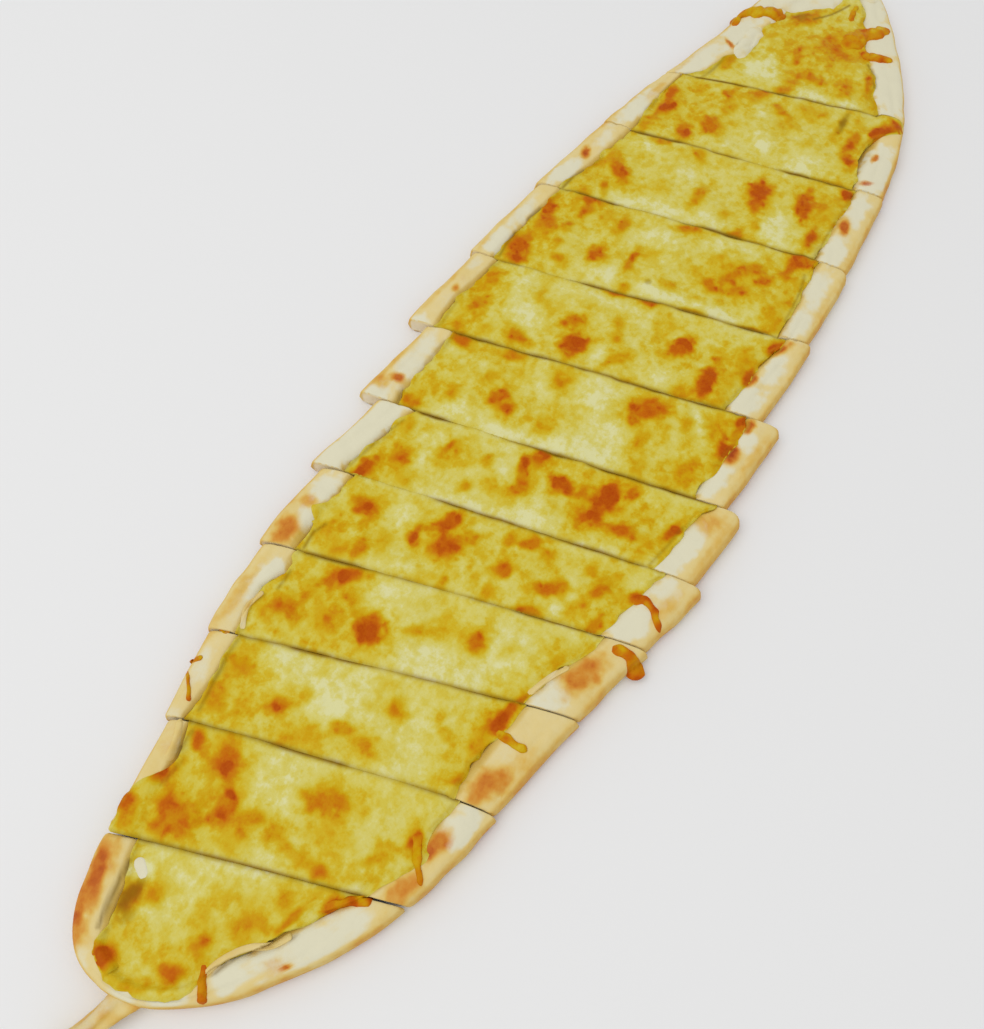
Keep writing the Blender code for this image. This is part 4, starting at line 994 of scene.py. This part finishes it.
def makeCheese(number):
    size = cheeseSizes
    shape = SlicePlan(number)
    length = abs(shape.ends[1][1] - shape.ends[1][0])
    places = spacedPlaces(length, size["spacing"], size["edgeSteps"], shape.left, shape.right)
    inner = np.linspace(0, 1, size["rimRows"])
    covered = {}
    for side in (-1, 1):
        edge = outlineAt(shape.ends[side][0] + (shape.ends[side][1] - shape.ends[side][0]) * places, side)
        wander = noise(edge[:, 0], edge[:, 1], 8, 11) + 0.5 * noise(edge[:, 0], edge[:, 1], 3, 12)
        runs = runsOver.get((number, side), ((0.0, size["outerReach"]), (1.0, size["outerReach"])))
        outer = smoothThrough(places, runs) if len(runs) > 2 else np.interp(places, *zip(*runs))
        covered[side] = outer + size["reachWander"] * (1 + 1.2 * (outer < 0.8)) * wander
    reach = {}
    for side in (-1, 1):
        atTip = 0 * places if shape.left and shape.right else places if shape.left else 1 - places
        outer = covered[side] + 0.5 * (covered[-side] - covered[side]) * easeBetween(0.93, 1.0, atTip)
        reach[side] = outer[:, None] * (1 - inner) + lastStep * inner
    widest = 2 * float(halfWidthAt(np.array(sum(shape.ends[1]) / 2)))
    bedRows = int(round(widest / size["spacing"])) - size["rowsSaved"]
    plan, over, side = shape.grid(places, reach[-1], reach[1], bedRows)
    x, y = plan[..., 0] + shape.shift[0], plan[..., 1] + shape.shift[1]
    dough = shape.doughTop(plan, over) + rimRelief(x, y, over)
    low = dough + size["gap"]
    fromLeft, fromRight = distancesToCuts(plan)
    brown = patchField(x, y, brownSpots[number], 0.2, 1.25, 0.62)
    halo = patchField(x, y, brownSpots[number], 0.25, 2.0, 0.85)
    gold = np.maximum(patchField(x, y, goldPlaces[number], 0.5, 1.0, 0.8), 0.85 * halo)
    # pale creamy places, partly painted highlight
    cream = patchField(x, y, creamAndHighlightPlaces[number], 0.3, 1.0, 0.7)
    for apart, seed, dark, rare in size["freckles"]:
        freckled = dark * np.clip(noise(x, y, apart, seed + number) - rare, 0, 1)
        brown = brown + freckled * np.clip(gold * 1.5, 0.3, 1)
    brown = np.clip(brown, 0, 1.1)
    z = size["height"] + size["wave"] * gentleWave(plan[..., 0], plan[..., 1], 24)
    z = z + size["lumps"] * noise(x, y, 12, 13) + size["ripples"] * noise(x, y, 4.5, 14)
    z = z + size["blister"] * np.clip(brown, 0, 1) * (0.75 + 0.5 * noise(x, y, 2.6, 15)) + 0.18 * cream
    # the surface dips to a soft valley where it meets the rim's shoulder
    rimmed = np.abs(side) * (1 - easeBetween(0.9, 1.16, over))
    toRim = distanceToSides(plan)
    valley = np.exp(-(((toRim - size["valleyPlace"]) / size["valleyWidth"]) ** 2))
    z = z - size["valley"] * valley * (0.7 + 0.5 * noise(x, y, 14, 16))
    film = size["film"] + size["filmGain"] * easeBetween(0, 3.5, toRim)
    film = film + 0.12 * noise(x, y, 2.4, 17) * easeBetween(0, 1.5, toRim)
    top = np.maximum(z, low + film)
    top = np.where(rimmed > 0.5, np.minimum(top, low + film + 0.8), top)
    # cut edges are rounded over and drawn back where the cut gapes, or press against each other
    openings = {}
    for end, cut, distance, out in ((0, shape.left, fromLeft, -1), (-1, shape.right, fromRight, 1)):
        if cut:
            opening = cutOpening(y[end], openCuts[number], out)
            openings[end] = opening
            jitter = size["cutJitter"] * noise(y[end] * 2, 0 * y[end], 3.5, 18 + number + out)
            bulge = size["closedBulge"] - size["openDraw"] * opening
            drawn = (bulge + jitter)[None] * np.exp(-((distance / size["pressedWidth"]) ** 2))
            plan = plan + np.stack([out * drawn, 0 * drawn], -1)
            rounding = size["cutRounding"] * (0.5 + 0.9 * opening)[None]
            top = top - rounding * np.exp(-((distance / (0.7 + 0.5 * opening[None])) ** 2))
    top = np.maximum(top, low + size["leastFilm"])
    low[:, 0] = dough[:, 0] + size["lip"]
    low[:, -1] = dough[:, -1] + size["lip"]
    top[:, 0], top[:, -1] = low[:, 0], low[:, -1]
    # painted shade: dark lines under the rim's inner edge, shadowed places and a band beside the rim
    crease = lineField(x, y, creaseShadeLines[number], 0.75)
    crease = np.maximum(crease, 0.85 * patchField(x, y, shadePatches.get(number, ()), 0.3, 1.0, 0.6))
    rimShade = size["rimShade"] * np.exp(-(((toRim - 1.2) / 1.1) ** 2))
    crease = np.maximum(crease, rimShade * easeBetween(-0.2, 0.6, noise(x, y, 15, 19)))
    gold = np.maximum(gold, 0.6 * np.exp(-((toRim / 4.0) ** 2)) * (0.7 + 0.6 * noise(x, y, 10, 20)))
    shell = Shell("brown", "gold", "cream", "cutFace", "crease")
    # painted shade along the knife cuts, stronger where a cut gapes and faint where it is pressed shut
    cutShade = np.zeros_like(x)
    for end, distance in ((0, fromLeft), (-1, fromRight)):
        if end in openings:
            seen = 0.56 + 0.5 * openings[end] + 0.34 * noise(y[end], 0 * y[end], 13, 26 + number)
            seen = seen * (1 - 0.85 * patchField(x[end], y[end], closedPlaces, 0, 1.0, 0.3))
            cutShade = np.maximum(cutShade, seen[None] * np.exp(-((distance / size["cutLineWidth"]) ** 2)))
    crease = np.clip(np.maximum(crease, cutShade), 0, 0.9)
    masks = {"brown": brown, "gold": gold, "cream": cream, "crease": crease}
    shell.add(heights(plan, top, shape.shift), masks)
    shell.add(heights(plan, low, shape.shift)[::-1], {"gold": 0.3})
    for end in openings:
        down = np.linspace(0, 1, size["wallRows"] + 1)[:, None]
        wallZ = top[end] * (1 - down) + low[end] * down
        line = np.broadcast_to(plan[end], (len(down), *plan[end].shape))
        wallMasks = {"cutFace": easeBetween(0.0, 0.3, down), "gold": 0.3, "crease": crease[end]}
        shell.add(heights(line, wallZ, shape.shift), wallMasks)
    return shell


# Crisp cheese that ran over the rim: slice, width where it starts, width where it stops, thickness,
# how brown, then the points it passes
strands = (
    (1, 2.4, 4.0, 1.0, 0.78, (-259, -13), (-264, -17), (-268, -20.5)),
    (1, 2.6, 3.6, 1.0, 0.88, (-225, -34), (-219, -40), (-214, -46)),
    (2, 3.6, 2.4, 0.9, 0.76, (-189, -46), (-196, -51), (-202, -57)),
    (3, 1.4, 1.8, 0.8, 0.8, (-191, 56.5), (-194, 52), (-199, 47)),
    (3, 1.8, 2.6, 0.8, 0.8, (-188, 58), (-184, 54)),
    (3, 3.4, 3.6, 0.8, 0.74, (-172, 52.5), (-171, 58)),
    (3, 3.4, 2.6, 0.9, 0.76, (-146, -49), (-146.5, -55), (-146, -62)),
    (4, 4.6, 6.0, 1.3, 0.86, (-98, -67), (-96, -73), (-98, -78), (-101, -81)),
    (5, 4.4, 2.8, 0.8, 0.9, (-77, -63), (-75, -69), (-78, -74), (-82, -79)),
    (12, 6.4, 8.0, 1.7, 0.76, (231, 53.5), (238, 55.5), (244, 52.5), (247, 46), (250, 40), (252, 34)),
    (12, 12.0, 7.0, 1.2, 0.74, (247, -1), (258, -5), (266, -10), (273, -16)),
    (12, 4.0, 5.2, 1.4, 0.86, (249, -10), (249, -19), (249.5, -27)),
    (12, 3.4, 2.6, 1.0, 0.7, (268, 4), (275, 6), (281, 6)),
)
# raised lips of dough along the folded rim, in the same terms
doughFolds = (
    (1, 2.0, 2.6, 0.8, 0.0, (-263, -15), (-255, -17), (-248, -21.5), (-243, -27.5), (-237, -31)),
    (1, 3.6, 4.4, 0.4, 0.0, (-251.5, 20), (-249.5, 23), (-248, 27)),
    (2, 3.0, 2.4, 0.7, 0.0, (-219, 40), (-212, 42), (-205, 46)),
    (4, 2.0, 2.2, 0.6, 0.0, (-168, 50), (-160, 54), (-152, 53)),
    (4, 2.4, 2.4, 0.6, 0.0, (-129, -51), (-120, -54), (-112, -58)),
    (12, 7.0, 9.0, 1.2, 0.0, (210, 42), (222, 41.5), (236, 42)),
    (12, 19.0, 17.0, 1.6, 0.0, (257, 45), (268, 35), (277, 25), (285, 16)),
    (12, 12.0, 10.0, 1.2, 0.0, (296, 12), (292, 5), (287, 0)),
)
strandSizes = {
    "spacing": 0.45,
    "columns": 15,
    "ragged": 0.4,
    "lumps": 0.35,
    "sunk": 0.1,
    "hang": 2.4,
    "fewestRows": 12,
    "startHeight": 8.0,
    "dropPerRow": 0.35,
    "riseOver": 5,
}


def surfaceOf(*shells):
    corners, faces = [], []
    for shell in shells:
        faces += [tuple(face) for face in np.concatenate(shell.faces) + len(corners)]
        corners += [tuple(point * mm) for point in np.concatenate(shell.points)]
    return BVHTree.FromPolygons(corners, faces)


def groundUnder(tree, point, fallback):
    hit = tree.ray_cast(Vector((point[0] * mm, point[1] * mm, 0.1)), Vector((0, 0, -1)))[0]
    return hit.z / mm if hit else fallback


def addStrand(shell, tree, width, endWidth, thickness, brown, *points):
    # a thin run of cheese or lip of dough that lies on whatever is under it and hangs over the edge
    size = strandSizes
    known = np.linspace(0, 1, len(points))
    px, py = np.array(points, float).T
    length = float(np.hypot(np.diff(px), np.diff(py)).sum())
    share = np.linspace(0, 1, max(int(length / size["spacing"]), size["fewestRows"]))
    cx, cy = smoothThrough(share, list(zip(known, px))), smoothThrough(share, list(zip(known, py)))
    ahead = np.stack([np.gradient(cx), np.gradient(cy)], -1)
    ahead /= np.linalg.norm(ahead, axis=1, keepdims=True)
    ends = np.sqrt(np.clip(np.minimum(share, 1 - share) * length / (0.5 * width), 0, 1))
    half = 0.5 * (width + (endWidth - width) * share) * ends
    across = np.linspace(-1, 1, size["columns"])
    rough = 0.2 + brown  # folds of dough are smoother than cheese
    edge = 1 + size["ragged"] * rough * noise(cx[:, None] + across * 2, cy[:, None] + 0 * across, 2.6, 43)
    offset = across * half[:, None] * edge
    x = cx[:, None] - ahead[:, 1:] * offset
    y = cy[:, None] + ahead[:, :1] * offset
    low = np.zeros_like(x)
    for i in range(x.shape[0]):
        for j in range(x.shape[1]):
            before = low[i - 1, j] if i else size["startHeight"]
            low[i, j] = groundUnder(tree, (x[i, j], y[i, j]), np.nan)
            if np.isnan(low[i, j]) or low[i, j] < before - size["hang"]:
                low[i, j] = max(before - size["dropPerRow"], rim["bulgeHeight"])
    low -= size["sunk"]
    rise = ends * easeBetween(0, size["riseOver"], share * length)
    dome = np.sqrt(np.clip(1 - across**2, 0, 1)) * rise[:, None]
    high = low + size["sunk"] + thickness * dome * (1 + size["lumps"] * rough * noise(x, y, 2.2, 44))
    high = np.where(dome > 0, high, low)
    floured = 0.3 + 0.8 * easeBetween(3.1, 3.6, width) + 0.5 * noise(x, y, 5, 28)  # wide flaps have more
    browned = 0.98 * brown + 0.25 * noise(x, y, 2.8, 42) - 0.1 * dome
    masks = {"brown": browned, "gold": 0.6, "toast": 0.12, "flour": floured}
    shell.add(heights(np.stack([x, y], -1), high, (0, 0)), masks)
    shell.add(heights(np.stack([x, y], -1), low, (0, 0))[::-1], masks)


for number in range(1, sliceCount + 1):
    breadShell, shape = makeBread(number)
    if number == 1:
        addTail(breadShell, shape.shift)
    cheeseShell = makeCheese(number)
    tree = surfaceOf(breadShell, cheeseShell)
    for shell, runs in ((breadShell, doughFolds), (cheeseShell, strands)):
        for run in runs:
            if run[0] == number:
                addStrand(shell, tree, *run[1:])
    bread = breadShell.build(f"breadSlice_{number:02d}", doughMaterial)
    cheese = cheeseShell.build(f"cheeseSlice_{number:02d}", cheeseMaterial)
    for piece, food in ((bread, "bread"), (cheese, "cheese")):
        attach(piece, "root")
        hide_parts(f"{food}_{number:02d}")
    print("slice", number, len(bread.data.polygons), "+", len(cheese.data.polygons), "faces")

studio = {
    "floorColour": (234, 234, 234),
    "floorShade": (225, 225, 225),
    "floorDrop": 0.0002,
    "floorSize": 6.0,
    "worldStrength": 0.72,
    "keyPower": 11.0,
    "keySize": 1.6,
    "keyFrom": (-0.7, 0.5, 1.7),
    "aim": (0.0, 0.0, 0.0),
    "camera": (-201.89, -84.91, 327.78),
    "cameraAim": (-73.84, 1.81, 0.0),
    "focalPixels": 900.0,
    "photoHeight": 1029.0,
}


def makeStudio():
    floorFinish = Finish("paleFloor")
    grain = floorFinish.speckle(floorFinish.node("ShaderNodeTexCoord", {}, {}, output=3), 30, 2)
    shade = floorFinish.blend(grain * 0.04, paint(*studio["floorColour"]), paint(*studio["floorShade"]))
    floorFinish.close(shade, 0.9, [(0.02, 0.1, grain)], {"Specular IOR Level": 0.1})
    bpy.ops.mesh.primitive_plane_add(size=studio["floorSize"], location=(0, 0, -studio["floorDrop"]))
    floor = bpy.context.object
    floor.name = "floor"
    floor.data.materials.append(floorFinish.material)
    world = bpy.data.worlds.new("studioLight")
    bpy.context.scene.world = world
    world.use_nodes = True
    background = world.node_tree.nodes["Background"]
    background.inputs["Color"].default_value = (1.0, 1.0, 1.0, 1.0)
    background.inputs["Strength"].default_value = studio["worldStrength"]
    light = bpy.data.lights.new("softBox", "AREA")
    light.shape = "DISK"
    light.size = studio["keySize"]
    light.energy = studio["keyPower"]
    lamp = bpy.data.objects.new("softBox", light)
    lamp.location = studio["keyFrom"]
    lamp.rotation_euler = (Vector(studio["aim"]) - lamp.location).to_track_quat("-Z", "Y").to_euler()
    bpy.context.scene.collection.objects.link(lamp)


def makeCamera():
    lens = bpy.data.cameras.new("camera")
    lens.sensor_width = 36.0
    lens.lens = studio["focalPixels"] / studio["photoHeight"] * lens.sensor_width
    lens.clip_start = 0.01
    camera = bpy.data.objects.new("camera", lens)
    camera.location = Vector(studio["camera"]) * mm
    ahead = (Vector(studio["cameraAim"]) - Vector(studio["camera"])).normalized()
    camera.rotation_euler = ahead.to_track_quat("-Z", "Y").to_euler()
    bpy.context.scene.collection.objects.link(camera)
    bpy.context.scene.camera = camera


makeStudio()
makeCamera()
bpy.context.scene.view_settings.view_transform = "Standard"
print("studio and camera ready")
